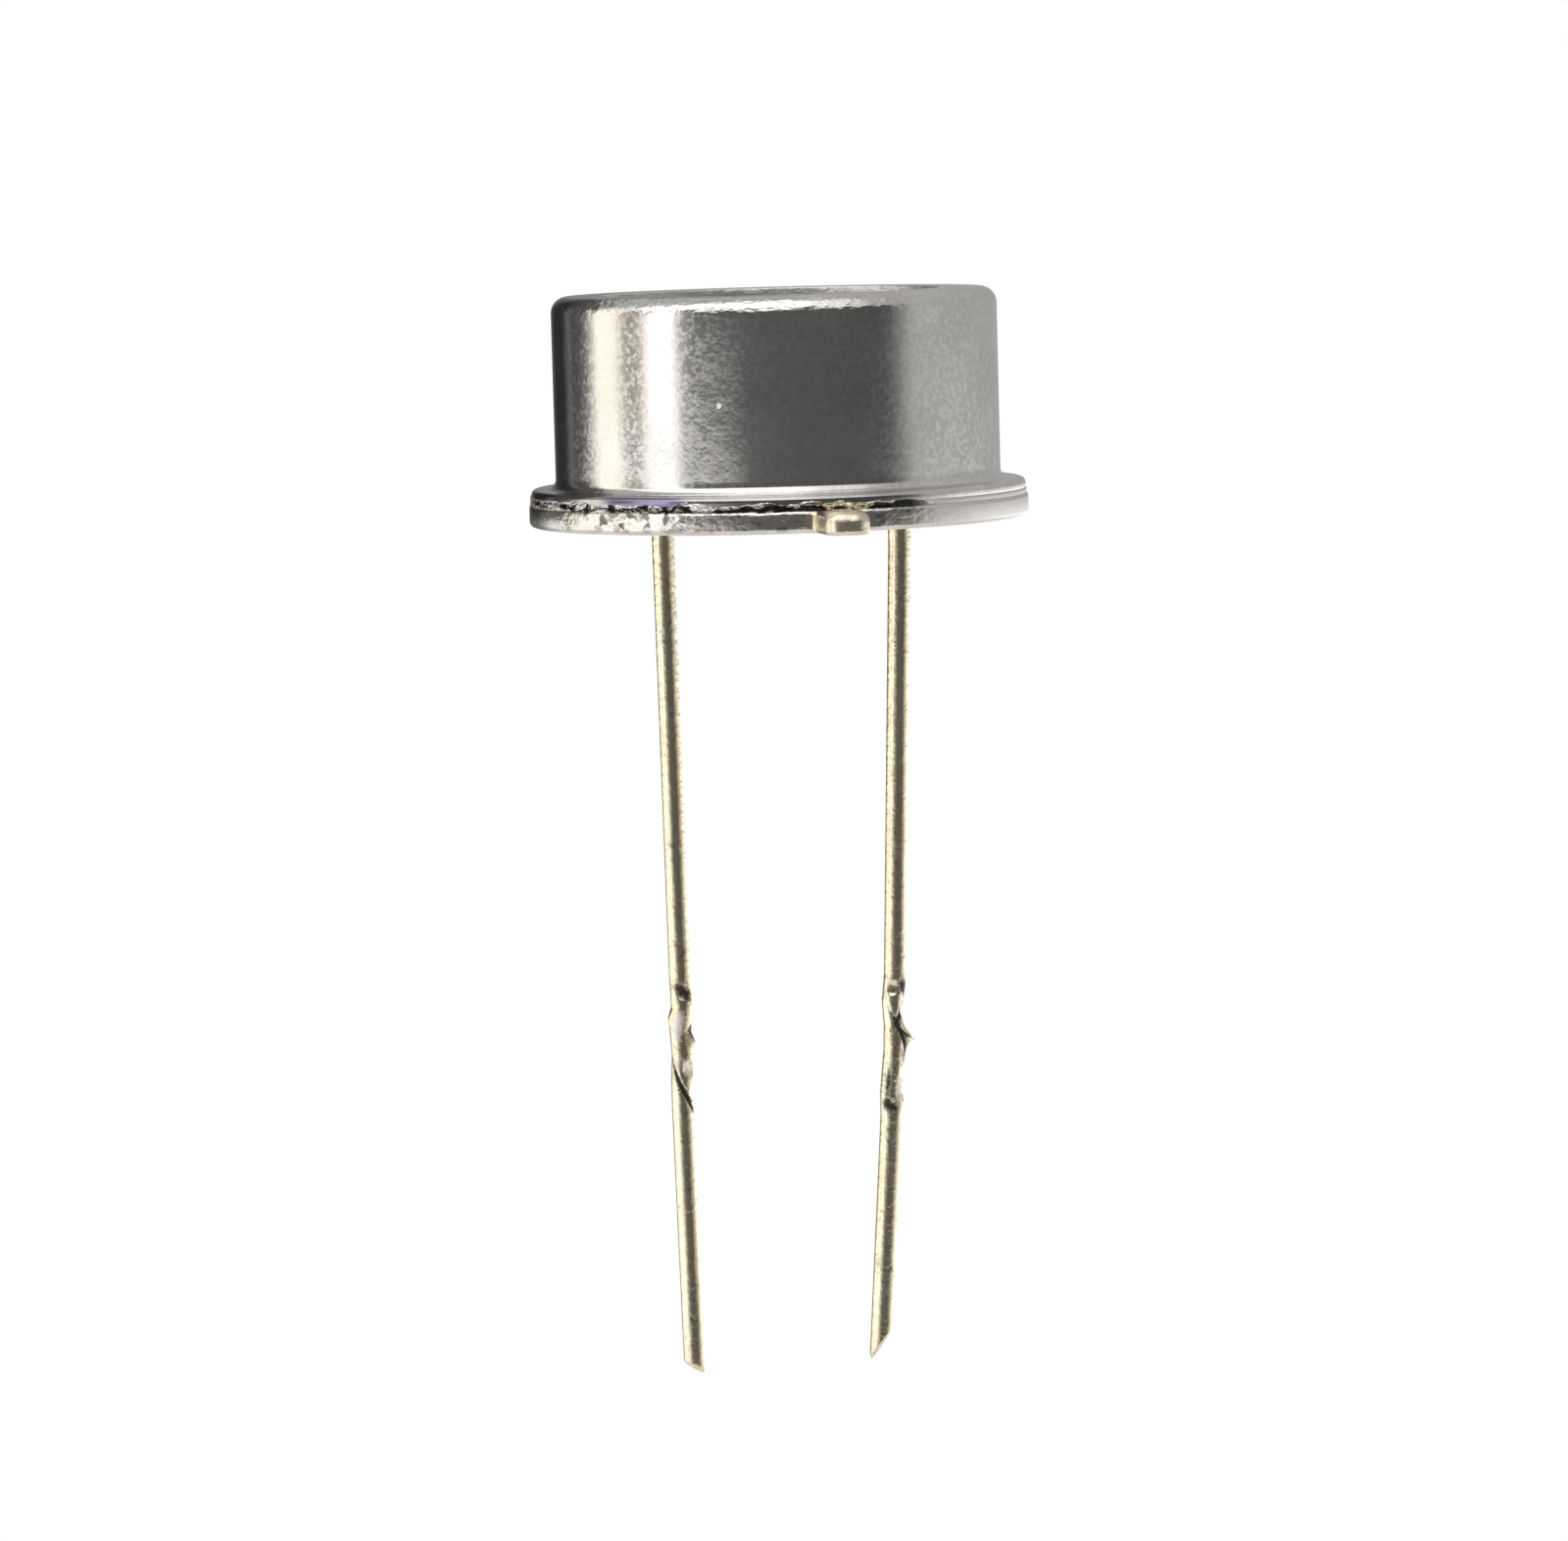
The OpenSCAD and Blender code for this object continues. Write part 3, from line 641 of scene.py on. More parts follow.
def lead_skin(start, foot_z, head, rows, bruises, cut, sizes, columns=36, pitch=0.02):
    """A lead as a tube of circles along its centre line. A jaw mark cuts the circle to a scallop
    r cos a <= R + j - d - sqrt(j^2 - s^2), a burr swells it by a bell along and round it, a
    plier dent dents it by a slanted bell, and the tip is drawn in a little and sheared to a slant:
    cut is its length and the side it is longest on. Also gives each point's painted reflection,
    dark above 0 and bright below."""
    radius = sizes.radius
    s, lean, x, z, spans = lead_line(rows, sizes, pitch)
    if head:
        above = np.linspace(head, 0, 60, endpoint=False)
        x, z = np.append(0 * above, x), np.append(above, z)
        lean, s = np.append(0 * above, lean), np.append(-above, s)
    a = angles(columns)
    off = lambda side: apart(a, math.radians(side))[None, :]
    r = np.full((len(s), columns), radius)
    for (low, high), (_, _, depth, side, height, burr_side) in zip(spans, rows):
        from_mid = (s - (low + high) / 2)[:, None]
        if depth:
            jaw, grazing, beyond = 1.5 * radius, 0.05, 9
            reach = radius + jaw - depth - np.sqrt(np.clip(jaw ** 2 - from_mid ** 2, 0, None))
            facing = np.cos(off(side))
            trimmed = np.where(facing > grazing, reach / np.clip(facing, grazing, None), beyond)
            r = np.where(np.abs(from_mid) < jaw, np.minimum(r, trimmed), r)
        if height:
            along = from_mid / (0.7 * radius) - 0.5 * off(burr_side)
            r = r + height * np.exp(-along ** 2 - (off(burr_side) / 0.55) ** 2)
    bruise = np.zeros_like(r)
    for down, side, long, wide, slant, depth, dark in bruises:
        along = ((-z - foot_z) - down)[:, None] - slant * off(side)
        bell = np.exp(-(along / (0.6 * long)) ** 2 - (off(side) / math.radians(0.5 * wide)) ** 2)
        r = r - depth * bell
        bruise = bruise + dark * bell * (1.5 - 0.5 * bell)
    left = (s[-1] - s)[:, None]
    drawn = 0.16
    r = r * (1 - drawn * np.clip(1 - left / drawn, 0, 1) ** 2)
    length, long_side = cut
    shear = length * np.clip(1 - left / (2.2 * length), 0, 1) * (1 - np.cos(off(long_side))) / 2
    if head:
        from_top = (s - s[0])[:, None]
        edge = 0.03
        t = np.clip(from_top, 0, sizes.head_thickness)
        corner = edge - np.sqrt(np.clip(edge ** 2 - np.clip(edge - t, 0, None) ** 2, 0, None))
        under = np.clip((from_top - sizes.head_thickness) / 0.04, 0, 1)
        neck = radius + (sizes.head_radius - radius) * (1 - under) ** 3
        r = np.where(from_top < sizes.head_thickness, sizes.head_radius - corner,
                     np.where(under < 1, neck, r))
    across = np.stack([np.cos(lean), 0 * lean, np.sin(lean)], -1)
    ahead = np.stack([np.sin(lean), 0 * lean, -np.cos(lean)], -1)
    line = np.stack([start[0] + x, start[1] + 0 * x, start[2] + z], -1)
    circle = np.cos(a)[None, :, None] * across[:, None] + np.sin(a)[None, :, None] * [0, 1, 0]
    points, faces = skin(line[:, None] + r[..., None] * circle - shear[..., None] * ahead[:, None])
    return points, faces, np.concatenate([bruise.ravel(), [bruise[0].mean(), bruise[-1].mean()]])


def sliver_skin(start, bend, end, thick, sides=10, rings=14):
    """A lifted sliver of metal: circles that shrink to a point along the curve
    (1 - t)^2 start + 2 t (1 - t) bend + t^2 end."""
    t = np.linspace(0, 1, rings)[:, None]
    start, bend, end = (np.array(p, float) for p in (start, bend, end))
    line = (1 - t) ** 2 * start + 2 * t * (1 - t) * bend + t ** 2 * end
    ahead = unit(2 * (1 - t) * (bend - start) + 2 * t * (end - bend))
    across = unit(np.cross(ahead, [0, 1, 0]))
    up = np.cross(across, ahead)
    a = angles(sides)[None, :, None]
    width = thick * (1 - 0.92 * t)[..., None]
    ring = np.cos(a) * across[:, None] * 0.7 + np.sin(a) * up[:, None]
    return skin(line[:, None] + width * ring)


def torn_sliver(points, root):
    """The sliver lifted on the right side of the anode lead, 9.2 mm under the seating face."""
    side = points[np.abs(points[:, 2] + 9.2) < 0.03, 0].max()
    start, bend, end = ((side + x, root[1] + y, z) for x, y, z in (
        (-0.16, -0.14, -9.16), (-0.02, -0.2, -9.3), (0.15, -0.16, -9.42)))
    return sliver_skin(start, bend, end, 0.045)


def bead_profile(can, leads):
    """Section of the glass bead, which climbs a little up the lead at both ends."""
    r, b = leads.radius, leads.bead_radius - 0.001
    low, high = 0.04, can.platform_height - 0.04
    share = np.linspace(0, 1, 9)
    climb = lambda z, way: np.stack([r + (b - r) * share ** 0.8,
                                     z + way * 0.12 * (1 - share) ** 2.6], -1)
    return np.vstack([climb(low, -1), [b, low + 0.03], [b, high - 0.03], climb(high, 1)[::-1]])


def root_weld_skin(can, leads, count=96):
    """The weld in the corner round the case lead's root: a hollow fillet of uneven size."""
    r, deep, a = leads.radius, can.seat_depth, angles(count)
    size = leads.weld_fillet * (1 - 0.12 * (1 + waves(a, 3, 14, 8)) / 2)
    t = np.radians(np.linspace(0, 90, 9))[:, None]
    radii = np.vstack([r + size * (1 - np.sin(t)), np.full((1, count), r)])
    heights = np.vstack([deep - size * (1 - np.cos(t)), np.full((1, count), deep)])
    return skin(rounds(radii, a, heights, -root_of(leads)), closed=True)


def square_ring(half, corner, height, count=16):
    """One ring of a rounded square: four arcs, anticlockwise."""
    corners = [(half - corner, half - corner), (corner - half, half - corner),
               (corner - half, corner - half), (half - corner, corner - half)]
    plan = np.vstack([arc(c, corner, 90 * k, 90 * k + 90, count) for k, c in enumerate(corners)])
    return at_height(plan, height)


def chip_skin(chip):
    """The chip: rounded squares up its sides, over the scribed street's step and in to the
    middle; and a raised frame, the contact ring, with the bond pad on it. Rows are half the
    width, the corner's radius and the height."""
    half, step = chip.width / 2, chip.width / 2 - chip.street
    top = chip.base + chip.thickness
    squares = lambda rows, closed=False: skin(np.stack([square_ring(*row) for row in rows]),
                                              closed)
    body = squares([(0.6 * half, 0.02, chip.base), (half, 0.01, chip.base),
                    (half, 0.01, top - 0.03), (step + 0.012, 0.03, top - 0.03),
                    (step, 0.03, top - 0.004), (step - 0.006, 0.03, top), (0.5 * half, 0.03, top)])
    out, high, sunk = step - 0.06, top + 0.006, top - 0.002
    wide, bevel = out - chip.ring, high - 0.002
    ring = squares([(out, 0.2, sunk), (out, 0.2, bevel), (out - 0.004, 0.2, high),
                    (wide + 0.004, 0.14, high), (wide, 0.14, bevel), (wide, 0.14, sunk)], True)
    p = chip.pad / 2
    pad, faces = squares([(0.5 * p, 0.02, sunk), (p, 0.03, sunk), (p, 0.03, top + 0.012),
                          (p - 0.006, 0.03, top + 0.015), (0.5 * p, 0.02, top + 0.015)])
    return shells(body, ring, (pad + [chip.pad_place, 0, 0], faces))


def attach_skin(chip):
    """The layer under the chip: rounded squares whose outline wavers, from its foot on the
    platform up to the chip's side."""
    half, low = chip.width / 2, chip.base - 0.03
    rows = []
    for out, up, waver in ((-0.6, 0, 0), (0.085, 0, 1), (0.08, 0.01, 1), (0.045, 0.05, 0.6),
                           (0.015, 0.085, 0.3), (0.0, 0.1, 0), (-0.03, 0.03, 0), (-0.6, 0.03, 0)):
        ring = square_ring(half + out, 0.1 if out > -0.5 else 0.05, low + up, 40)
        a = np.arctan2(ring[:, 1], ring[:, 0])
        push = 1 + waver * 0.012 * (waves(a, 5, 30, 21) - 0.6) / 1.6
        rows.append(ring * np.stack([push, push, np.ones_like(push)], -1))
    return skin(np.stack(rows))


def wire_skin(chip, leads, sides=12, rings=90):
    """The bond wire: circles carried along a lifted, skewed arch from the pad to the post, the
    last tenth pressed flat, with a squashed ball at its start."""
    t = np.linspace(0, 1, rings)
    pad_z = chip.base + chip.thickness + 0.015
    u0, u1 = chip.pad_place, leads.circle
    z0, z1 = pad_z + 0.05, leads.post + chip.wire / 4
    s = t * t * (3 - 2 * t)
    u = u0 + (u1 - u0) * (0.35 * t + 0.65 * s) * (0.4 + 0.6 * t)
    z = z0 + (z1 - z0) * t + chip.loop * np.sin(np.pi * t ** 0.7)
    along = unit(np.stack([np.gradient(u), np.gradient(z)], -1))
    flat = np.clip((t - 0.9) / 0.1, 0, 1)
    thick, wide = chip.wire / 2 * (1 - 0.5 * flat), chip.wire / 2 * (1 + flat)
    a = angles(sides)
    up, across = thick[:, None] * np.sin(a), wide[:, None] * np.cos(a)
    rows = np.stack([u[:, None] - along[:, 1:] * up, across, z[:, None] + along[:, :1] * up], -1)
    ball = np.vstack([[0.04, pad_z], arc((0.055, pad_z + 0.024), 0.024, -90, 60, 8),
                      [0.03, pad_z + 0.05]])
    return shells(skin(rows), lathe(ball, 24, (u0, 0), closed=False))


# ---------------------------------------------------------------- shader graphs

class Wire:
    """A socket that takes part in sums: an expression on values adds its Math nodes."""

    def __init__(self, graph, socket):
        self.graph, self.socket = graph, socket

    def maths(self, operation, *values):
        """A Math node on wires and numbers."""
        made = self.graph.node("ShaderNodeMath", {"operation": operation},
                               dict(enumerate(values)))
        return Wire(self.graph, made.outputs[0])

    def __add__(self, other): return self.maths("ADD", self, other)
    def __radd__(self, other): return self.maths("ADD", other, self)
    def __sub__(self, other): return self.maths("SUBTRACT", self, other)
    def __rsub__(self, other): return self.maths("SUBTRACT", other, self)
    def __mul__(self, other): return self.maths("MULTIPLY", self, other)
    def __rmul__(self, other): return self.maths("MULTIPLY", other, self)
    def __truediv__(self, other): return self.maths("DIVIDE", self, other)
    def __neg__(self): return self.maths("MULTIPLY", self, -1.0)
    def __abs__(self): return self.maths("ABSOLUTE", self)
    def least(self, other): return self.maths("MINIMUM", self, other)
    def most(self, other): return self.maths("MAXIMUM", self, other)

    def ease(self, low, high):
        """0 below low, 1 above high, and smooth between; low may be the higher."""
        made = self.graph.node("ShaderNodeMapRange", {"interpolation_type": "SMOOTHSTEP"},
                               {"Value": self, "From Min": low, "From Max": high})
        return Wire(self.graph, made.outputs[0])


class Graph:
    """A node tree and the ways to add to it."""

    def __init__(self, owner):
        self.owner = owner
        owner.use_nodes = True
        self.tree = owner.node_tree
        self.tree.nodes.clear()

    def node(self, kind, setting=(), sockets=()):
        """A node of a kind, with its settings set first, then its sockets' values or links. A
        ramp's setting is its stops; a socket goes by its number, name or identifier."""
        made = self.tree.nodes.new(kind)
        for key, value in dict(setting).items():
            if key == "stops":
                ramp = made.color_ramp
                while len(ramp.elements) > 1:
                    ramp.elements.remove(ramp.elements[-1])
                for k, (place, tint) in enumerate(value):
                    stop = ramp.elements[0] if k == 0 else ramp.elements.new(place)
                    stop.position, stop.color = place, (*tint, 1)
            else:
                setattr(made, key, value)
        for key, value in dict(sockets).items():
            if isinstance(key, int):
                socket = made.inputs[key]
            else:
                socket = next(s for s in made.inputs if key in (s.identifier, s.name))
            if isinstance(value, Wire):
                self.tree.links.new(value.socket, socket)
            else:
                socket.default_value = value
        return made

    def out(self, made, key=0):
        """One output of a node, by number, name or identifier."""
        if isinstance(key, int):
            return Wire(self, made.outputs[key])
        return Wire(self, next(s for s in made.outputs if key in (s.identifier, s.name)))

    def millimetres(self):
        """The piece's own coordinates in millimetres."""
        own = self.out(self.node("ShaderNodeTexCoord"), "Object")
        return self.out(self.node("ShaderNodeVectorMath", {"operation": "SCALE"},
                                  {0: own, "Scale": 1000.0}))

    def stretched(self, place, by, turn=0.0):
        """Coordinates turned about Z and stretched along each axis, for grain with a run."""
        made = self.node("ShaderNodeMapping", {"vector_type": "POINT"},
                         {"Vector": place, "Rotation": (0, 0, turn), "Scale": by})
        return self.out(made)

    def split(self, place):
        """The x, y and z of a place."""
        made = self.node("ShaderNodeSeparateXYZ", (), {0: place})
        return [self.out(made, k) for k in range(3)]

    def from_axis(self, place):
        """Distance from the can's axis in millimetres."""
        level = self.node("ShaderNodeVectorMath", {"operation": "MULTIPLY"},
                          {0: place, 1: (1, 1, 0)})
        return self.distance(self.out(level), (0.0, 0.0, 0.0))

    def attribute(self, name):
        """A value that the piece carries at its points."""
        return self.out(self.node("ShaderNodeAttribute", {"attribute_name": name}), "Fac")

    def rays(self, *kinds):
        """1 for a ray of any of the kinds, and 0 for others."""
        path = self.node("ShaderNodeLightPath")
        seen = self.out(path, f"Is {kinds[0]} Ray")
        for kind in kinds[1:]:
            seen = seen.most(self.out(path, f"Is {kind} Ray"))
        return seen

    def noise(self, place, scale, detail=3.0, roughness=0.55, distortion=0.0):
        """Fractal noise, about 0.25 to 0.75, with its scale in cells to the millimetre."""
        made = self.node("ShaderNodeTexNoise", (), {
            "Vector": place, "Scale": scale, "Detail": detail, "Roughness": roughness,
            "Distortion": distortion})
        return self.out(made)

    def cells(self, place, scale):
        """Distance to the nearest of scattered points, with its scale as in noise."""
        made = self.node("ShaderNodeTexVoronoi", (), {"Vector": place, "Scale": scale})
        return self.out(made, "Distance")

    def mix(self, share, first, second):
        """A colour between two, at a share from 0 to 1."""
        full = lambda c: (*c, 1.0) if isinstance(c, tuple) and len(c) == 3 else c
        made = self.node("ShaderNodeMix", {"data_type": "RGBA"}, {
            "Factor_Float": share, "A_Color": full(first), "B_Color": full(second)})
        return self.out(made, "Result_Color")

    def shades(self, share, colour, first, second):
        """A colour between two shades of one colour."""
        return self.mix(share, shade(colour, first), shade(colour, second))

    def distance(self, place, point):
        """Distance from a point, both in millimetres."""
        made = self.node("ShaderNodeVectorMath", {"operation": "DISTANCE"}, {0: place, 1: point})
        return self.out(made, "Value")

    def bump(self, height, reach):
        """Normals of a height from 0 to 1 that stands for the given reach in millimetres."""
        made = self.node("ShaderNodeBump", (), {
            "Strength": 1.0, "Distance": reach / 1000, "Height": height})
        return self.out(made)

    def surface(self, **sockets):
        """The shader and its output; a socket's underscores are spaces. Returns the material."""
        made = self.node("ShaderNodeBsdfPrincipled", (),
                         {key.replace("_", " "): value for key, value in sockets.items()})
        self.node("ShaderNodeOutputMaterial", (), {"Surface": self.out(made)})
        return self.owner


def finish(name):
    """The graph of a new material, and the piece's own coordinates in millimetres."""
    g = Graph(bpy.data.materials.new(name))
    return g, g.millimetres()


def shade(value, factor=1):
    """A colour made lighter or darker."""
    return tuple(min(1.0, float(v) * factor) for v in value)


def satin_nickel(colours):
    """Nickel plate with a mottled grain, a few faint rubbed streaks, one small pit with a painted
    glint in its colour, and dents on the shoulder. The flange's welded lip is darkened as painted
    shade except at the right, where it is rougher, with a violet heat tint at the left front."""
    g, place = finish("satin_nickel")
    x, _, z = g.split(place)
    out = g.from_axis(place)
    blotch = g.noise(place, 1.1, 4.0)
    grain = g.noise(place, 10.0, 2.0, 0.5)
    fine = g.noise(place, 26.0, 2.0)
    speckle = g.cells(place, 15.0)
    rub = g.noise(g.stretched(place, (3.0, 3.0, 0.35), 0.4), 6.0, 2.0)
    streak = g.noise(g.stretched(place, (2.5, 2.5, 0.5), 0.9), 4.0, 1.0).ease(0.7, 0.78)
    pit_and_painted_glint = g.distance(place, PIT_AND_PAINTED_GLINT).ease(0.06, 0.02)
    shoulder = z.ease(3.8, 3.98)
    coarse = x.ease(-3.55, -3.1) * x.ease(-0.5, -2.2)
    middle = x.ease(-3.7, -3.3) * x.ease(2.4, 0.6)
    relief = 0.04 + 0.12 * middle + 0.3 * coarse + shoulder
    dent = g.noise(g.stretched(place, (1.0, 1.0, 2.4)), 4.2, 2.0) - 0.5
    rough = ((grain - 0.5) * 0.55 + (speckle - 0.4) * 0.32) * relief
    left_more = 1 - 0.65 * x.ease(1.8, 2.6)
    height = ((rough + fine * 0.08 + blotch * 1.6 - pit_and_painted_glint * 2.5) * left_more
              + shoulder * dent * 7.0)
    tone = blotch.ease(0.35, 0.7) * 0.5 + grain.ease(0.42, 0.62) * 0.5
    plate = g.shades(tone, colours.nickel, 0.88, 1.08)
    welded_part = out.ease(4.3, 4.4) * z.ease(0.72, 0.66)
    near = g.distance(place, HEAT_TINT).ease(1.05, 0.6)
    # Painted shade: the welded lip's colour is darkened everywhere but at the right.
    plate = g.mix(welded_part * x.ease(2.6, 1.6) * 0.6, plate, shade(colours.nickel, 0.45))
    plate = g.mix(welded_part * near * 0.95, plate, shade(colours.heat))
    return g.surface(
        # Painted glint: the pit's colour is near white, brighter than the nickel round it.
        Base_Color=g.mix(pit_and_painted_glint, plate, (1.0, 1.0, 0.98)),
        Metallic=1.0,
        Roughness=(0.07 + 0.2 * grain.ease(0.44, 0.62) * speckle * (0.3 + coarse).least(1.0)
                   + 0.04 * rub + 0.07 * streak + 0.5 * pit_and_painted_glint + 0.35 * out.ease(3.12, 3.05)
                   + 0.2 * welded_part * x.ease(2.6, 3.6)),
        Normal=g.bump(height, 0.0033))


def painted_blob_shade(g, place, x):
    """Painted shade along the outlines of the weld's larger blobs, broken up, on the left of the
    rim.
    """
    edge = abs(g.noise(place, 1.9, 1.0) - 0.5).ease(0.1, 0.05)
    return edge * g.noise(place, 3.4, 1.0).ease(0.52, 0.57) * x.ease(-1.2, -1.8)


def plated_header(colours):
    """Gold plate, thin and silvery on the rim, yellow on the tab and the underside. The rim
    was upset by the weld, so it is lumpy and mirrors its surroundings in patches; dark patches
    of painted reflection lie on its higher lumps, and painted shade along its blobs' outlines
    at the left."""
    g, place = finish("gold_plate")
    x, _, z = g.split(place)
    blotch = g.noise(place, 2.2, 4.0)
    grain = g.noise(place, 16.0, 3.0)
    out = g.from_axis(place)
    lumps = g.noise(g.stretched(place, (1.0, 1.0, 1.7)), 4.2, 3.0, 0.5)
    calm = g.distance(place, RIM_RIGHT).ease(1.6, 3.0)
    rest = g.distance(place, RIM_LEFT).ease(1.75, 2.4)
    rim = out.ease(4.3, 4.42) * z.ease(0.02, 0.08) * calm * rest
    tab = g.distance(place, TAB).ease(0.98, 0.66)
    under = z.ease(0.012, 0.002)
    inside = out.ease(4.2, 3.9)
    yellow = (tab * (0.15 + 0.45 * blotch) + under + inside).least(1.0)
    thin = g.shades(blotch.ease(0.4, 0.6), colours.pale_gold, 1, 0.86)
    thin = g.mix(calm, shade(colours.nickel), thin)
    thick = g.shades(blotch.ease(0.35, 0.65), colours.gold, 1, 0.82)
    # Painted reflection: the rim's higher lumps are darkened in colour, and the blobs' outlines at
    # the left get painted shade.
    painted_dark = rim * lumps.ease(0.56, 0.66) * 0.5 * (1 - tab)
    painted_dark = painted_dark.most(painted_blob_shade(g, place, x) * rim * 0.85)
    return g.surface(
        Base_Color=g.mix(painted_dark, g.mix(yellow, thin, thick), (0.1, 0.095, 0.09)),
        Metallic=1.0,
        Roughness=0.1 + 0.12 * blotch + 0.05 * grain + 0.1 * tab + 0.2 * (1 - calm),
        Normal=g.bump(grain * 0.16 + blotch * 0.3 + lumps * (0.25 + 1.7 * rim), 0.012))


def fused_seam(colours):
    """Weld metal: a black line of painted shade that wanders along the groove, thick and thin,
    with bright squeezed-out metal above and below it. At the left the line is thin and blobs
    have outlines of painted shade. The seam is dressed to plain grey at the right front, and a
    little gold from the header has run into it over the tab."""
    g, place = finish("weld_metal")
    x, _, z = g.split(place)
    lump = g.attribute("lump")
    flat = g.stretched(place, (1.0, 1.0, 0.25))
    wander = (g.noise(flat, 0.9, 1.0) - 0.5) * 0.14 + (g.noise(flat, 2.6, 1.0) - 0.5) * 0.34
    speck = g.noise(place, 14.0, 3.0)
    plain = g.distance(place, SEAM_DRESSED).ease(3.2, 2.4)
    # The place where the line of painted shade is widest.
    painted_dark = g.distance(place, SEAM_PAINTED_DARK).ease(0.95, 0.5)
    left = x.ease(-1.5, -2.2)
    thick = ((0.006 + 0.055 * g.noise(flat, 2.3, 2.0).ease(0.36, 0.62)) * (1 - 0.8 * left)
             + 0.07 * painted_dark)
    # Painted shade: a black line along the groove, and a second thin one below it.
    line = abs(z - 0.43 - wander).ease(thick + 0.014, thick - 0.004)
    second = (abs(z - 0.375 - wander * 0.6).ease(0.03, 0.012)
              * g.noise(flat, 1.9, 1.0).ease(0.5, 0.58))
    line = line.most(second * (1 - left)).most(painted_blob_shade(g, place, x)) * (1 - plain)
    gold = g.distance(place, SEAM_GOLD).ease(1.3, 0.5)
    metal = g.shades(speck, colours.flash, 0.86, 1.06)
    metal = g.mix(gold * 0.7, metal, (0.95, 0.84, 0.62))
    metal = g.mix(plain, metal, shade(colours.nickel, 0.96))
    return g.surface(
        # Painted shade: the line's black is mixed into the weld's colour.
        Base_Color=g.mix(line, metal, shade(colours.scale)),
        Metallic=1.0 - 0.4 * line,
        Roughness=0.2 + 0.06 * speck + 0.3 * line + 0.3 * plain,
        Normal=g.bump((lump * 0.5 + g.noise(place, 6.5, 3.0) * 1.8 + speck * 0.25 - line * 0.6)
                      * (1 - 0.95 * plain), 0.035))


def lead_plate(colours):
    """Pale plate on a drawn wire: fine draw lines along it, brown tarnish in specks, and painted
    dark and bright reflections on the plier dents, from the attribute that carries them."""
    g, place = finish("lead_plate")
    bruise = g.attribute("bruise")
    draw = g.noise(g.stretched(place, (1.0, 1.0, 0.06)), 26.0, 3.0)
    ripple = g.noise(g.stretched(place, (0.7, 0.7, 1.0)), 7.0, 3.0)
    worn = g.noise(place, 1.0, 2.0).ease(0.42, 0.6)
    blotch = g.noise(place, 1.6, 4.0, 0.6)
    tarnish = (draw * 0.6 + blotch * 0.7 - 0.28).ease(0.3, 0.66)
    plate = g.shades(tarnish, colours.lead_gold, 1, 0.8)
    plate = g.mix(worn * 0.4, plate, (0.86, 0.7, 0.5))
    spots = g.noise(place, 9.0, 3.0).ease(0.56, 0.7) * blotch.ease(0.42, 0.56)
    plate = g.mix(spots * 0.6, plate, shade(colours.tarnish))
    torn = g.noise(place, 15.0, 2.0)
    # Painted reflection: black where the attribute is above 0, near white where it is below.
    dark = (bruise + (torn - 0.5) * 0.9).ease(0.12, 0.85)
    light = (-bruise + (torn - 0.5) * 0.9).ease(0.2, 0.9)
    plate = g.mix(dark, plate, (0.045, 0.036, 0.028))
    plate = g.mix(light * 0.8, plate, (0.95, 0.93, 0.9))
    relief = draw * 0.5 + ripple * 3.0 + torn * 0.9 + abs(bruise).least(1.0) * torn * 3.0
    return g.surface(
        Base_Color=plate,
        Metallic=1.0 - 0.5 * dark,
        Roughness=0.17 + 0.12 * tarnish + 0.25 * dark + 0.4 * light,
        Normal=g.bump(relief, 0.004))


def root_weld(colours):
    """Gold-coloured weld round the case lead, rippled and a little burnt."""
    g, place = finish("root_weld")
    blotch = g.noise(place, 5.0, 4.0)
    return g.surface(
        Base_Color=g.mix(blotch.ease(0.45, 0.65), shade(colours.gold, 0.9), shade(colours.tarnish)),
        Metallic=1.0, Roughness=0.26 + 0.3 * blotch, Normal=g.bump(blotch, 0.03))


def window_glass():
    """Clear flat glass with a trace of dust."""
    g, place = finish("window_glass")
    dust = g.cells(place, 2.6).ease(0.05, 0.02) * g.noise(place, 0.8).ease(0.5, 0.6)
    return g.surface(
        Base_Color=g.mix(dust, (0.97, 0.99, 0.985), (0.7, 0.7, 0.68)),
        Roughness=0.015 + 0.3 * dust, IOR=1.5, Transmission_Weight=1.0)


def sealing_glass(colours, name="seal_glass"):
    """Dark glass with a smooth pool and a few bubbles."""
    g, place = finish(name)
    swirl = g.noise(place, 3.0, 3.0, 0.5, 1.0)
    bubble = g.cells(place, 7.0).ease(0.16, 0.05)
    return g.surface(
        Base_Color=g.shades(swirl.ease(0.4, 0.7), colours.seal, 1, 2.0),
        Roughness=0.06 + 0.12 * swirl, Coat_Weight=0.4, Coat_Roughness=0.04,
        Normal=g.bump(swirl - bubble * 0.6, 0.006))


